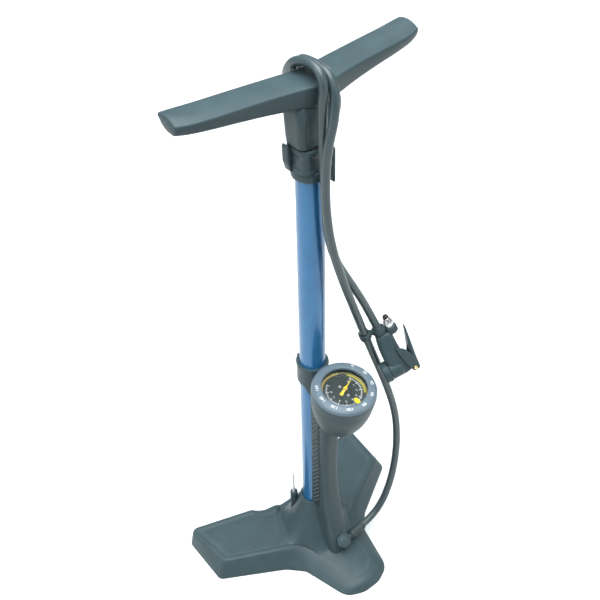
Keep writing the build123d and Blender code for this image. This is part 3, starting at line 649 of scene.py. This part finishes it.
neck_foot = 604
panel_sink = 1.0
neck_rings = []
neck_rises = [0, 0.3, 1.2, 2.5, 4.5, 5.2, 6.2, 10, 16, 24, 32, 37, 41, 44, 46.5, 48.5, 50.5]
for z in (neck_foot + rise for rise in neck_rises):
    half_x = along((604, 607, 620, 640, 646, 650, 655), (20.6, 21.0, 22.8, 25.2, 25.4, 24.6, 22.0), z)
    front = along((604, 607, 620, 640, 646, 655), (-15.6, -15.9, -17.6, -19.8, -19.0, -15.0), z)
    rear = along((604, 607, 620, 640, 655), (14.2, 14.2, 13.2, 11.2, 9.0), z)
    lift = round_over(1.3, 1.6, z - neck_foot)
    corner = [(-half_x + lift, front + lift), (half_x - lift, front + lift), (half_x - lift, rear - lift),
              (-half_x + lift, rear - lift)]
    sunk = panel_sink * smooth_step(608.4, 609.4, z)
    ring = []
    for px, py in with_runs(rounded(corner, [7.5, 7.5, 9, 9], steps=8), 9, 14):
        share = smooth_step(half_x - 6.2, half_x - 7.6, abs(px)) if py < front + 4 else 0
        ring.append((px, py + sunk * share, z))
    neck_rings.append(ring)
piece("handle_neck", *skin(neck_rings), *handle_slate, crease=50)
for side in (1, -1):
    screw_axes = Axes((0, -17.0 if side < 0 else 12.4, 632), (1, 0, 0), (0, side, 0))
    turned("neck_screw_" + ("rear" if side > 0 else "front"), [
        (0, -1.5), (4.2, -1.5), (4.2, -0.2), (3.9, 0.15), (2.4, 0.2), (2.2, -0.6), (0, -0.7)],
        steel, "handle", "steel", axes=screw_axes, around=36)

# ---- piston rod ----
rod = turned("rod_chromed", [
    (0, 84), (2.7, 84), (3.0, 84.4), (3.0, 111.7), (4.7, 111.8), (5.0, 112.2), (5.0, 300), (5.0, 480),
    (5.0, 651.6), (4.6, 652), (0, 652)], bright, "handle", "bright_steel", around=64)
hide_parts("piston_rod")

# ---- top cap ----
cap_ring = turned("cap_ring", [
    (14.6, 566.4), (15.0, 566), (17.6, 566), (18.2, 566.5), (18.5, 567.4), (18.5, 574.6), (18.2, 575.8),
    (17.4, 576.4), (14.6, 576.6)], *pump_slate, closed=True)
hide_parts("top_cap")
cap_rings = []
for z, grow in ((576, -0.3), (577, -0.1), (578, 0.0), (579.4, 0.0), (580.2, -0.7), (582, -0.8),
                (590, -0.6), (594.4, -0.6), (595.2, 0.1), (596, 0.3), (599.6, 0.3), (600.8, 0.0),
                (601.6, -0.7), (602, -1.8), (602, -7.0), (600.4, -7.6)):
    outline = rounded([(-18.2 - grow, -16.6 - grow), (18.2 + grow, -16.6 - grow),
                       (18.2 + grow, 16.2 + grow), (-18.2 - grow, 16.2 + grow)], 8.5 + grow, steps=10)
    cap_rings.append([(p[0], p[1], z) for p in outline])
piece("cap_body", *skin(cap_rings), *pump_slate, crease=45)
side_axes = Axes((0, 0, 0), (1, 0, 0), (0, -1, 0))
lug = rounded([(-17.4, 573), (-19.4, 573.5), (-22.6, 584), (-23.0, 600.5), (-21.6, 602.6), (-19.6, 601),
               (-17.4, 599)], [1, 2, 6, 1.2, 0.8, 1.5, 1], steps=5)
prism("cap_lug", lug, -13, -4, *pump_slate, axes=side_axes, edge=1.0)
hook = rounded([(17.4, 593.5), (22.5, 593.5), (28.6, 584), (28.8, 546.5), (26.0, 546.5), (24.4, 577),
                (21.0, 582), (17.4, 582)], [1, 4, 6, 1.2, 1.2, 6, 3, 1], steps=5)
prism("cap_hook", hook, -4.5, 4.5, *pump_shadow, axes=side_axes, edge=1.0)
# black ring on the cap's top: painted shade, standing in for the dark gap under the handle's neck
turned("cap_gap_shade_ring", [
    (6.2, 601.2), (16.6, 601.2), (17.0, 601.8), (17.0, 603.1), (16.6, 603.6), (6.6, 603.6), (6.2, 603.2)],
    seal_rubber, "pump", "black_rubber", closed=True)

# ---- gauge column ----
column_levels = [4, 12, 20, 30, 40, 50, 60, 70, 80, 90, 100, 110, 120, 160, 200, 240, 262, 270]
column_rings = []
for z in column_levels:
    middle = along((4, 20, 50, 80, 110, 270), (-44.5, -43.0, -37.2, -30.6, -26.0, -26.0), z)
    width = along((4, 20, 50, 80, 110, 270), (15.6, 15.0, 13.6, 12.6, 12.0, 12.0), z)
    ring = []
    for k in range(29):
        angle = math.pi + math.pi * k / 28
        wide = abs(math.cos(angle)) ** 0.55
        deep = abs(math.sin(angle)) ** 0.55
        ring.append((math.copysign(width * wide, math.cos(angle)), middle - width * deep, z))
    for y in np.linspace(middle + 2, -9.5, 8):
        ring.append((width - 0.9 * smooth_step(middle, middle + 6, y), y, z))
    for y in np.linspace(-9.5, middle + 2, 8):
        ring.append((-width + 0.9 * smooth_step(middle, middle + 6, y), y, z))
    column_rings.append(ring)
column = piece("column_shell", *skin(column_rings), *pump_slate, crease=50)
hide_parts("gauge_column")
for side, word in ((-1, "left"), (1, "right")):
    strip_axes = Axes((side * 11.7, 0, 0), (0, 1, 0), (side, 0, 0))
    strip = [(y, z * side) for y, z in ((-25.6, 84), (-12.6, 84), (-12.6, 262), (-25.6, 262))]
    prism(f"grip_strip_{word}", strip, -0.8, 0.35, black, "pump", "black_plastic", axes=strip_axes,
          edge=0.3, steps=1)
    beads = []
    for number in range(22):
        z = 94 + 7.4 * number
        a = Vector((side * 12.1, -14.0, z - 7.4))
        b = Vector((side * 12.1, -24.4, z + 7.4))
        steps = [a + (b - a) * t for t in (0, 0.03, 0.1, 0.5, 0.9, 0.97, 1)]
        bead = tube(steps, 1.5, around=8, taper=lambda t: math.sqrt(max(0.02, 1 - abs(2 * t - 1) ** 6)))
        beads.append(skin(bead))
    piece(f"grip_ribs_{word}", *joined(beads), *pump_slate)


# ---- gauge ----
def grooves(depth, count, low, high, start, stop):
    """Wobble that cuts grip grooves round a band of a turned piece."""
    def wobble(angle, height):
        return -depth * smooth_step(start, stop, math.cos(angle * count)) if low < height < high else 0
    return wobble


tilt = math.radians(8)
gauge = Axes((0, -54.2, 315.4), (1, 0, 0), (0, -math.sin(tilt), math.cos(tilt)))
bowl_line = []
for k in range(33):
    turn = math.pi / 2 * k / 32
    bowl_line.append((35.2 * math.sin(turn) ** 1.1, -15 - 62 * max(0.0, math.cos(turn)) ** 1.15))
bowl_line += [(35.2, -12.9), (34.8, -12.5), (30.2, -12.4), (30, -12.2), (30, 0.2), (29.8, 0.4),
              (27.8, 0.4), (27.6, 0.2), (27.6, -1.6), (25.9, -1.7), (25.8, -8)]
bowl = turned("gauge_bowl", bowl_line, *pump_slate, axes=gauge, around=96)
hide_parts("gauge_housing")
bezel = turned("bezel_ring", [
    (30.1, -12.2), (35.9, -12.2), (36.4, -7), (36.4, -1.6), (35.2, 1.8), (32.6, 3.4), (28.4, 4.2),
    (25.9, 4.0), (25.2, 2.4), (25.2, 0.9), (30.1, 0.9)], bezel_grey, "bezel", "bezel_plastic", axes=gauge,
    around=120, closed=True, soft=[0.2, 0.9, 2, 2.4, 2.2, 3, 2, 0.9, 0.6, 0.2, 0.2], steps=4,
    wobble=grooves(0.18, 60, -11.5, -8, 0.55, 0.95))
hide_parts("gauge_bezel")
bezel.data.materials.append(slate)
for face in bezel.data.polygons:
    arm = np.array(face.center) / MM - gauge.o
    if arm @ gauge.z < -0.8 and math.hypot(arm @ gauge.x, arm @ gauge.y) > 33:
        face.material_index = 1


def numeral(name, number, size, radius, angle, height, turn, body, raise_by):
    """Generic numeral as thin raised ink, at a place round the gauge's axis."""
    data = bpy.data.curves.new(name, "FONT")
    data.body = str(number)
    data.size = size
    data.align_x = "CENTER"
    data.align_y = "CENTER"
    data.extrude = raise_by
    data.resolution_u = 3
    source = bpy.data.objects.new(name + "_text", data)
    scene.collection.objects.link(source)
    bpy.context.view_layer.update()
    mesh = bpy.data.meshes.new_from_object(source)
    bpy.data.objects.remove(source)
    c, s = math.cos(turn), math.sin(turn)
    mid_x, mid_y = radius * math.cos(angle), radius * math.sin(angle)
    for v in mesh.vertices:
        x, y, z = v.co
        v.co = [a * MM for a in gauge.at(mid_x + c * x - s * y, mid_y + s * x + c * y, height + z)]
    mesh.materials.clear()
    mesh.materials.append(white_ink)
    obj = bpy.data.objects.new(name, mesh)
    scene.collection.objects.link(obj)
    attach(obj, body)


for number, degrees in enumerate((33, 3, -26, -56, -88, -120, -152, -182, -211)):
    angle = math.radians(degrees)
    numeral(f"bezel_number_{number}", 20 * number, 5.3, 30.4, angle, 3.95, angle - math.pi / 2, "bezel",
            raise_by=0.12)
dial = turned("dial_face", [
    (0, -5.6), (25.6, -5.6), (25.7, -5.5), (25.7, -4.95), (25.55, -4.8), (0, -4.8)],
    dial_card, "pump", "dial_black", axes=gauge, around=96)
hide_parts("gauge_dial")


ink_low = -4.82


def arc_band(name, inner, outer_r, start_deg, stop_deg, high, material, slot, parts=48):
    """Flat printed band on the dial."""
    rings = []
    for k in range(parts + 1):
        a = math.radians(start_deg + (stop_deg - start_deg) * k / parts)
        rings.append([gauge.at(r * math.cos(a), r * math.sin(a), h)
                      for r, h in ((inner, ink_low), (outer_r, ink_low), (outer_r, high), (inner, high))])
    return piece(name, *skin(rings), material, "pump", slot)


arc_band("dial_arc_high", 21.6, 23.8, 42, -40, -4.70, olive_ink, "yellow_paint")
arc_band("dial_arc_low", 23.0, 25.4, 170, 66, -4.70, gold_ink, "yellow_paint")
arc_band("dial_rim_ring", 24.3, 25.1, 0, 359.9, -4.72, gold_ink, "yellow_paint", parts=120)
arc_band("dial_scale_line", 19.0, 19.3, 30, -240, -4.72, white_ink, "dial_black", parts=90)
ticks = []
for number in range(46):
    angle = math.radians(30 - 6 * number)
    inner, wide = (16.6, 0.28) if number % 5 == 0 else (18.0, 0.14)
    c, s = math.cos(angle), math.sin(angle)
    section = ((-wide, ink_low), (wide, ink_low), (wide, -4.72), (-wide, -4.72))
    ticks.append(skin([[gauge.at(r * c - w * s, r * s + w * c, h) for w, h in section]
                       for r in (inner, 20.6)]))
piece("dial_ticks", *joined(ticks), white_ink, "pump", "dial_black")
for number in range(9):
    numeral(f"dial_number_{number}", number, 3.4, 14.0, math.radians(30 - 30 * number), -4.75, 0.0, "pump",
            raise_by=0.05)
lens = turned("gauge_window", [
    (0, -1.6), (26.9, -1.6), (27.3, -1.4), (27.3, -0.5), (26.6, 0.0), (18, 0.25), (0, 0.4)],
    lens_clear, "pump", "clear_lens", axes=gauge, around=96)
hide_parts("gauge_lens")


def gauge_turned(degrees):
    """The gauge's frame with its x direction turned about its axis."""
    turn = math.radians(degrees)
    return Axes(gauge.o, gauge.x * math.cos(turn) + gauge.y * math.sin(turn), gauge.z)


arrow_side = [(17, 0.25), (6.5, 0.7), (3.2, 2.3), (-1.5, 1.5), (-8, 1.9)]
arrow = rounded(arrow_side + [(x, -y) for x, y in reversed(arrow_side)], 0.3, steps=3)
needle = prism("pointer_arrow", arrow, -3.6, -2.9, yellow, "pointer", "yellow_paint",
               axes=gauge_turned(22.6), edge=0.12, steps=2)
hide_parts("gauge_needle")
pin_head = turned("pointer_hub", [
    (0, -13), (0.85, -13), (0.85, -2.9), (1.5, -2.9), (1.7, -2.7), (1.6, -2.2), (1.1, -1.95), (0, -1.9)],
    brass, "pointer", "brass", axes=gauge, around=32)
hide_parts("needle_spindle")
target = rounded([(17.2, -1.2), (19.4, -2.5), (25.4, -2.5), (25.4, 2.5), (19.4, 2.5), (17.2, 1.2)],
                 [0.8, 1, 0.4, 0.4, 1, 0.8], steps=4)
marker = prism("target_marker", target, 0.95, 2.5, yellow, "bezel", "yellow_paint",
               axes=gauge_turned(-92), edge=0.35)
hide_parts("bezel_marker")

# ---- band clamp ----
clamp_line = [(14.6, 0.03), (16.6, 0.0), (17.4, 0.03), (17.6, 0.10), (17.6, 0.80), (18.3, 0.88),
              (18.5, 0.94), (18.2, 1.0), (14.9, 1.0), (14.6, 0.96)]
clamp_rings = []
for radius, share in clamp_line:
    ring = []
    for j in range(96):
        angle = 2 * math.pi * j / 96
        low = 290.5 - 19 * smooth_step(0.15, 0.95, -math.sin(angle))
        ring.append((radius * math.cos(angle), radius * math.sin(angle), low + (318 - low) * share))
    clamp_rings.append(ring)
clamp = piece("clamp_band", *skin(clamp_rings, caps=False, loop=True), *pump_slate)
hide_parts("band_clamp")
for side, word in ((1, "right"), (-1, "left")):
    ear = rounded([(15.5, 298), (23.4, 300), (23.4, 314), (15.5, 316)], [0.5, 3, 3, 0.5], steps=5)
    ear_axes = Axes((0, 0, 0), (0, 1, 0), (-1, 0, 0))
    low, high = sorted((-0.9 * side, -4.4 * side))
    prism(f"clamp_ear_{word}", [(y, -z) for y, z in ear], low, high, *pump_slate, axes=ear_axes, edge=0.7)
arm_rings = []
for z, front, wide in ((262, -42, 9.5), (270, -38, 10.5), (280, -33, 11), (290, -28, 11),
                       (300, -24, 10.5), (306, -20, 9)):
    outline = rounded([(-wide, front), (wide, front), (wide, -11), (-wide, -11)], [4, 4, 0.5, 0.5], steps=6)
    arm_rings.append([(p[0], p[1], z) for p in outline])
piece("clamp_arm", *skin(arm_rings), *pump_slate)

# ---- hose fitting ----
fitting = Axes((0, -52, 33), (1, 0, 0), (0, -0.7071, 0.7071))
turned("fitting_pad", [(0, -9), (13, -9), (13, -6.2), (12, -5.2), (0, -5.0)], *pump_slate, axes=fitting,
       around=64)
banjo = turned("banjo_ring", [(3.6, -3.9), (7.6, -3.9), (8.2, -3.0), (8.2, 3.0), (7.6, 3.9), (3.6, 3.9)],
               slate_dark, "pump", "steel", axes=fitting, around=64, closed=True, soft=0.5)
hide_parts("hose_banjo")
arm = Vector((18.0, 0.5, 3.5)).normalized()
exit_at = Vector((38, -52, 33))
sleeve = Axes(exit_at - arm * 31, (0, 1, 0), arm)
ferrule = turned("hose_sleeve", [
    (0, 0), (4.2, 0), (4.6, 8), (6.3, 11), (6.6, 13), (6.6, 15), (5.9, 15.8), (6.1, 17.5), (6.1, 29),
    (5.3, 31), (4.6, 31.4), (0, 31.4)], slate_dark, "pump", "black_plastic", axes=sleeve, around=48,
    soft=[0, 0.5, 1, 1, 0.5, 0.4, 0.4, 0.8, 1, 0.6, 0.2, 0])
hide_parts("base_ferrule")
knob = []
for k in range(12):
    radius = 10.2 if k % 2 == 0 else 8.7
    angle = math.pi * k / 6 + 0.2
    knob.append((radius * math.cos(angle), radius * math.sin(angle)))
bolt_head = prism("fitting_knob", rounded(knob, 1.4, steps=3), 5.0, 10.6, *pump_slate, axes=fitting,
                  edge=1.3)
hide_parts("banjo_bolt")
turned("fitting_knob_crown", [(0, 10), (6.2, 10), (6.2, 10.9), (5.2, 11.6), (0, 11.9)], *pump_slate,
       axes=fitting, around=48)

# ---- ball needle ----
spot = Axes((-17, 20.5, 0), (1, 0, 0), (0, 0, 1))
holder = turned("needle_clip", [
    (2.75, 40), (4.6, 40), (4.6, 60), (4.9, 62), (4.9, 75), (4.5, 77.5), (3.4, 78), (2.75, 77)],
    slate, "pump", "black_plastic", axes=spot, around=48, closed=True,
    soft=[0.2, 0.4, 1, 1, 0.8, 0.6, 0.3, 0.3], steps=2)
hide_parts("needle_holder")
inflator = turned("inflating_needle", [
    (0, 67), (2.4, 67), (2.6, 68), (2.6, 77.6), (1.9, 78.2), (1.9, 79.4), (2.5, 80), (2.5, 80.8),
    (0.95, 82.2), (0.9, 84), (0.9, 111.5), (0.55, 112.6), (0, 113)], steel, "needle", "bright_steel",
    axes=spot, around=32, soft=[0, 0.2, 0.3, 0.3, 0.2, 0.2, 0.2, 0.3, 0.4, 0.5, 0.3, 0.3, 0], steps=2)
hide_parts("ball_needle")

# ---- pump head ----
head_end = np.array((61.7, -37, 357.3))
down = np.array((0.2506, -0.3509, -0.9023))
down /= np.linalg.norm(down)
across = np.array((0.8690, -0.3292, 0.3694))
across -= down * float(across @ down)
across /= np.linalg.norm(across)
facing = np.cross(down, across)


def head_frame(u, w, z_dir, x_dir):
    """A frame at u across the head and w down from the hose's end."""
    return Axes(head_end + across * u + down * w, x_dir, z_dir)


def oval_stack(levels, power):
    """Skin through rounded sections square to the hose: (place, low side, high side, half thickness)."""
    rings = []
    for w, low, high, thick in levels:
        ring = []
        for j in range(48):
            a = 2 * math.pi * j / 48
            c, s = math.cos(a), math.sin(a)
            u = (low + high) / 2 + (high - low) / 2 * math.copysign(abs(c) ** (2 / power), c)
            out = thick * math.copysign(abs(s) ** (2 / power), s)
            ring.append(head_end + across * u + down * w + facing * out)
        rings.append(ring)
    return skin(rings)


body_levels = [(9.6, -4.8, 5.6, 5.0), (10.2, -6.0, 8.0, 6.2), (11.4, -7.0, 10.6, 7.0),
               (14, -7.6, 11.8, 7.2), (18, -8.4, 11.6, 7.2), (24, -9.4, 11.4, 7.4),
               (32, -10.2, 11.4, 7.8), (40, -10.8, 11.8, 8.3), (46, -11.0, 12.6, 8.5),
               (52, -11.0, 13.6, 8.6), (58, -11.0, 14.4, 8.6), (64, -10.8, 14.6, 8.6),
               (67, -10.4, 14.4, 8.3), (68.6, -9.8, 13.8, 7.4), (69.2, -8.8, 12.8, 6.2)]
shell = piece("head_shell", *oval_stack(body_levels, 3.0), *handle_slate, crease=60)
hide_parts("head_body")
chamber = head_frame(0, 59.6, -across, down)
turned("head_chamber", [
    (0, -6), (8.6, -6), (10.4, -4.4), (11.4, -2), (11.6, 9.4), (11.0, 10.3), (8.6, 10.4), (8.6, 3)],
    *handle_slate, axes=chamber, soft=[0, 1, 1.5, 2, 0.5, 0.3, 0.2, 0], steps=4)
nozzle = turned("nozzle_cap", [
    (4.6, 10.5), (11.7, 10.5), (12.3, 11.3), (12.4, 13), (12.2, 17.4), (11.2, 19.2), (9.0, 19.6),
    (6.2, 19.4), (4.6, 18.4)], *handle_slate, axes=chamber, around=80, closed=True,
    soft=[0.2, 0.5, 0.8, 1.2, 1.6, 1.2, 1, 1, 0.5], steps=4,
    wobble=grooves(0.35, 20, 11, 16.5, 0.3, 0.9))
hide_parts("nozzle_collar")
grommet = turned("nozzle_grommet", [(4.2, 3.2), (8.0, 3.2), (8.0, 10.3), (4.2, 10.3)], seal_rubber,
                 "handle", "black_rubber", axes=chamber, around=48, closed=True, soft=0.5, steps=2)
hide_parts("nozzle_seal")

ferrule_axes = head_frame(0, 0, down, across)
collar_sleeve = turned("head_sleeve", [
    (0, -0.6), (4.5, -0.6), (5.6, 0.4), (6.0, 2), (6.2, 5), (6.2, 7), (5.6, 7.6), (5.6, 8.4), (6.3, 9),
    (6.3, 11.8), (0, 11.8)], *handle_shadow, axes=ferrule_axes, around=56,
    soft=[0, 0.3, 0.6, 1, 1, 0.3, 0.2, 0.2, 0.3, 0.3, 0])
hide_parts("head_ferrule")

chuck_axes = head_frame(13.2, 0, -down, across)
dark_collar = turned("second_socket", [
    (0, -15), (5.6, -15), (6.8, -13.6), (7.0, -7.4), (6.4, -6), (5.4, -5.6), (0, -5.6)],
    *handle_shadow, axes=chuck_axes, around=48, soft=[0, 0.6, 0.8, 0.8, 0.7, 0.3, 0])
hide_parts("second_collar")
chrome = turned("second_nozzle", [
    (0, -7), (4.9, -7), (5.1, -6), (5.1, -4.6), (5.5, -4.0), (5.5, -0.6), (5.0, 0.4), (4.4, 3.0),
    (3.4, 5.0), (0, 5.2)], bright, "handle", "bright_steel", axes=chuck_axes, around=60,
    soft=[0, 0.3, 0.3, 0.3, 0.4, 0.5, 0.4, 1, 0.8, 0],
    wobble=grooves(0.3, 20, -4.2, 1.2, 0.2, 0.8))
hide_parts("second_chuck")
tip = turned("second_tip", [(0, 4.6), (3.3, 4.6), (3.5, 5.4), (3.1, 7.6), (2.0, 8.9), (0, 9.1)],
             seal_rubber, "handle", "black_rubber", axes=chuck_axes, around=40,
             soft=[0, 0.3, 0.3, 1, 0.6, 0])
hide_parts("chuck_seal")

clip_at = np.array((47.3, -33.5, 351.3))
clip_axes = Axes(clip_at, head_end - clip_at, (19, -0.8, -52))


def open_ring(name, axes, inner, outer_r, low, high, gap_from, gap_to):
    """Snap ring with rounded lips round a hose."""
    section = rounded([(inner, low), (outer_r, low), (outer_r, high), (inner, high)], 0.5, steps=3)
    rings = []
    for k in range(49):
        a = math.radians(gap_to + (360 - (gap_to - gap_from)) * k / 48)
        rings.append([axes.at(r * math.cos(a), r * math.sin(a), h) for r, h in section])
    return piece(name, *skin(rings), *handle_shadow)


clip = open_ring("clip_snap", clip_axes, 4.55, 6.8, -4.5, 4.5, -28, 28)
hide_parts("hose_clip")
open_ring("clip_collar", ferrule_axes, 6.2, 7.6, 1.0, 7.6, 0, 0.2)
bridge_a = Vector(clip_at) + Vector(head_end - clip_at).normalized() * 5.2
bridge_b = Vector(head_end + down * 4.2) + (Vector(clip_at) - Vector(head_end)).normalized() * 5.4
bridge_side = Vector(down)
bridge_rings = []
for t in (0, 0.08, 0.3, 0.5, 0.7, 0.92, 1):
    mid = bridge_a.lerp(bridge_b, t)
    tall = 3.4 + 0.8 * (2 * t - 1) ** 2
    outline = rounded([(-tall, -2), (tall, -2), (tall, 2), (-tall, 2)], 0.9, steps=3)
    bridge_rings.append([mid + bridge_side * p[0] + Vector(facing) * p[1] for p in outline])
piece("clip_bridge", *skin(bridge_rings), *handle_shadow)

# the lever's plane has its y direction up the hose, so places down the hose are negative
lever_plane = Axes(head_end, across, facing)
near_cheek = rounded([(13.6, 69.6), (20.8, 69.2), (22.6, 66.0), (22.2, 55), (18.6, 44), (14.6, 35.5),
                      (6.6, 29.5), (7.6, 44), (10.0, 58)], [3, 2, 3, 5, 5, 3, 1.4, 8, 8], steps=5)
far_cheek = rounded([(13.6, 69.6), (20.8, 69.2), (22.6, 66.0), (22.4, 56), (20.4, 50), (15.0, 54),
                     (12.4, 62)], [3, 2, 3, 5, 3, 4, 5], steps=5)
for side, word, cheek_line in ((1, "near", near_cheek), (-1, "far", far_cheek)):
    low, high = sorted((8.75 * side, 10.6 * side))
    prism(f"lever_cheek_{word}", [(u, -w) for u, w in cheek_line], low, high,
                             *lever_slate, axes=lever_plane, edge=0.8)
blade_levels = [(69.0, 18.8, 22.2, 10.0), (66, 19.0, 23.0, 10.5), (58, 18.8, 23.4, 10.5),
                (50, 18.8, 24.0, 10.4), (42, 20.0, 25.0, 8.8), (34, 22.0, 26.0, 6.8),
                (26, 23.8, 26.9, 4.9), (20, 25.2, 27.5, 3.7), (15.6, 26.2, 27.9, 2.7),
                (14.0, 26.6, 27.7, 2.0)]
blade = piece("lever_blade", *oval_stack(blade_levels, 4.0), *lever_slate, crease=55)
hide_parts("lever")
fin_levels = [(66, 11.0, 19.0, 1.2), (58, 13.0, 19.5, 1.2), (50, 16.2, 20.0, 1.1), (44, 18.0, 21.0, 1.0),
              (40, 19.4, 21.4, 0.9)]
# the web between the lever's cheeks takes the darker slate as painted shade inside the lever's channel
piece("lever_web", *oval_stack(fin_levels, 4.0), slate_dark, "lever", "slate_plastic")
pin_axes = head_frame(17.0, 66.0, facing, across)
pin = turned("lever_pivot", [
    (0, -11.3), (1.9, -11.3), (2.2, -10.9), (2.2, -10.6), (1.55, -10.5), (1.55, 10.5), (2.2, 10.6),
    (2.2, 10.9), (1.8, 11.3), (0, 11.4)], brass, "handle", "brass", axes=pin_axes, around=32,
    soft=[0, 0.2, 0.2, 0.1, 0.1, 0.1, 0.1, 0.2, 0.3, 0], steps=2)
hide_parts("lever_pin")

# ---- stage and light ----
floor_mesh = bpy.data.meshes.new("studio_floor")
floor_mesh.from_pydata([(-6, -6, 0), (6, -6, 0), (6, 6, 0), (-6, 6, 0)], [], [(0, 1, 2, 3)])
floor = bpy.data.objects.new("studio_floor", floor_mesh)
scene.collection.objects.link(floor)
studio_paint = Recipe(bpy.data.materials.new("pale_floor"))
floor_mesh.materials.append(studio_paint.finish({}, Base_Color=(0.90, 0.95, 0.96, 1), Roughness=0.9))
floor.visible_diffuse = False

scene.world = bpy.data.worlds.new("studio")
sky = Recipe(scene.world, out="Generated")
sky_split = sky.add("SeparateXYZ")
sky_light = sky.tree.nodes["Background"]
sky.feed(sky.place, sky_split, 0)
sky.feed(sky.ranged(sky_split.outputs["Z"], 0.12, 0.48, -0.25, 0.55), sky_light, "Strength")
sky_light.inputs["Color"].default_value = (0.97, 0.99, 1.0, 1)


def soft_light(name, place, aim, width, height, power):
    data = bpy.data.lights.new(name, "AREA")
    data.shape = "RECTANGLE"
    data.size = width
    data.size_y = height
    data.energy = power
    lamp = bpy.data.objects.new(name, data)
    lamp.location = place
    lamp.rotation_euler = (Vector(aim) - Vector(place)).to_track_quat("-Z", "Y").to_euler()
    scene.collection.objects.link(lamp)


soft_light("overhead_box", (-0.3, -0.2, 2.6), (0, 0, 0.3), 2.2, 2.2, 110)
soft_light("left_box", (-2.2, 0.6, 1.2), (0, 0, 0.4), 1.4, 1.8, 18)
soft_light("front_strip", (0.9, -1.9, 0.9), (0, 0, 0.4), 0.35, 1.6, 7)
soft_light("right_rim", (1.7, 0.9, 0.8), (0, 0, 0.35), 0.4, 1.6, 5)

scene.view_settings.view_transform = "Standard"
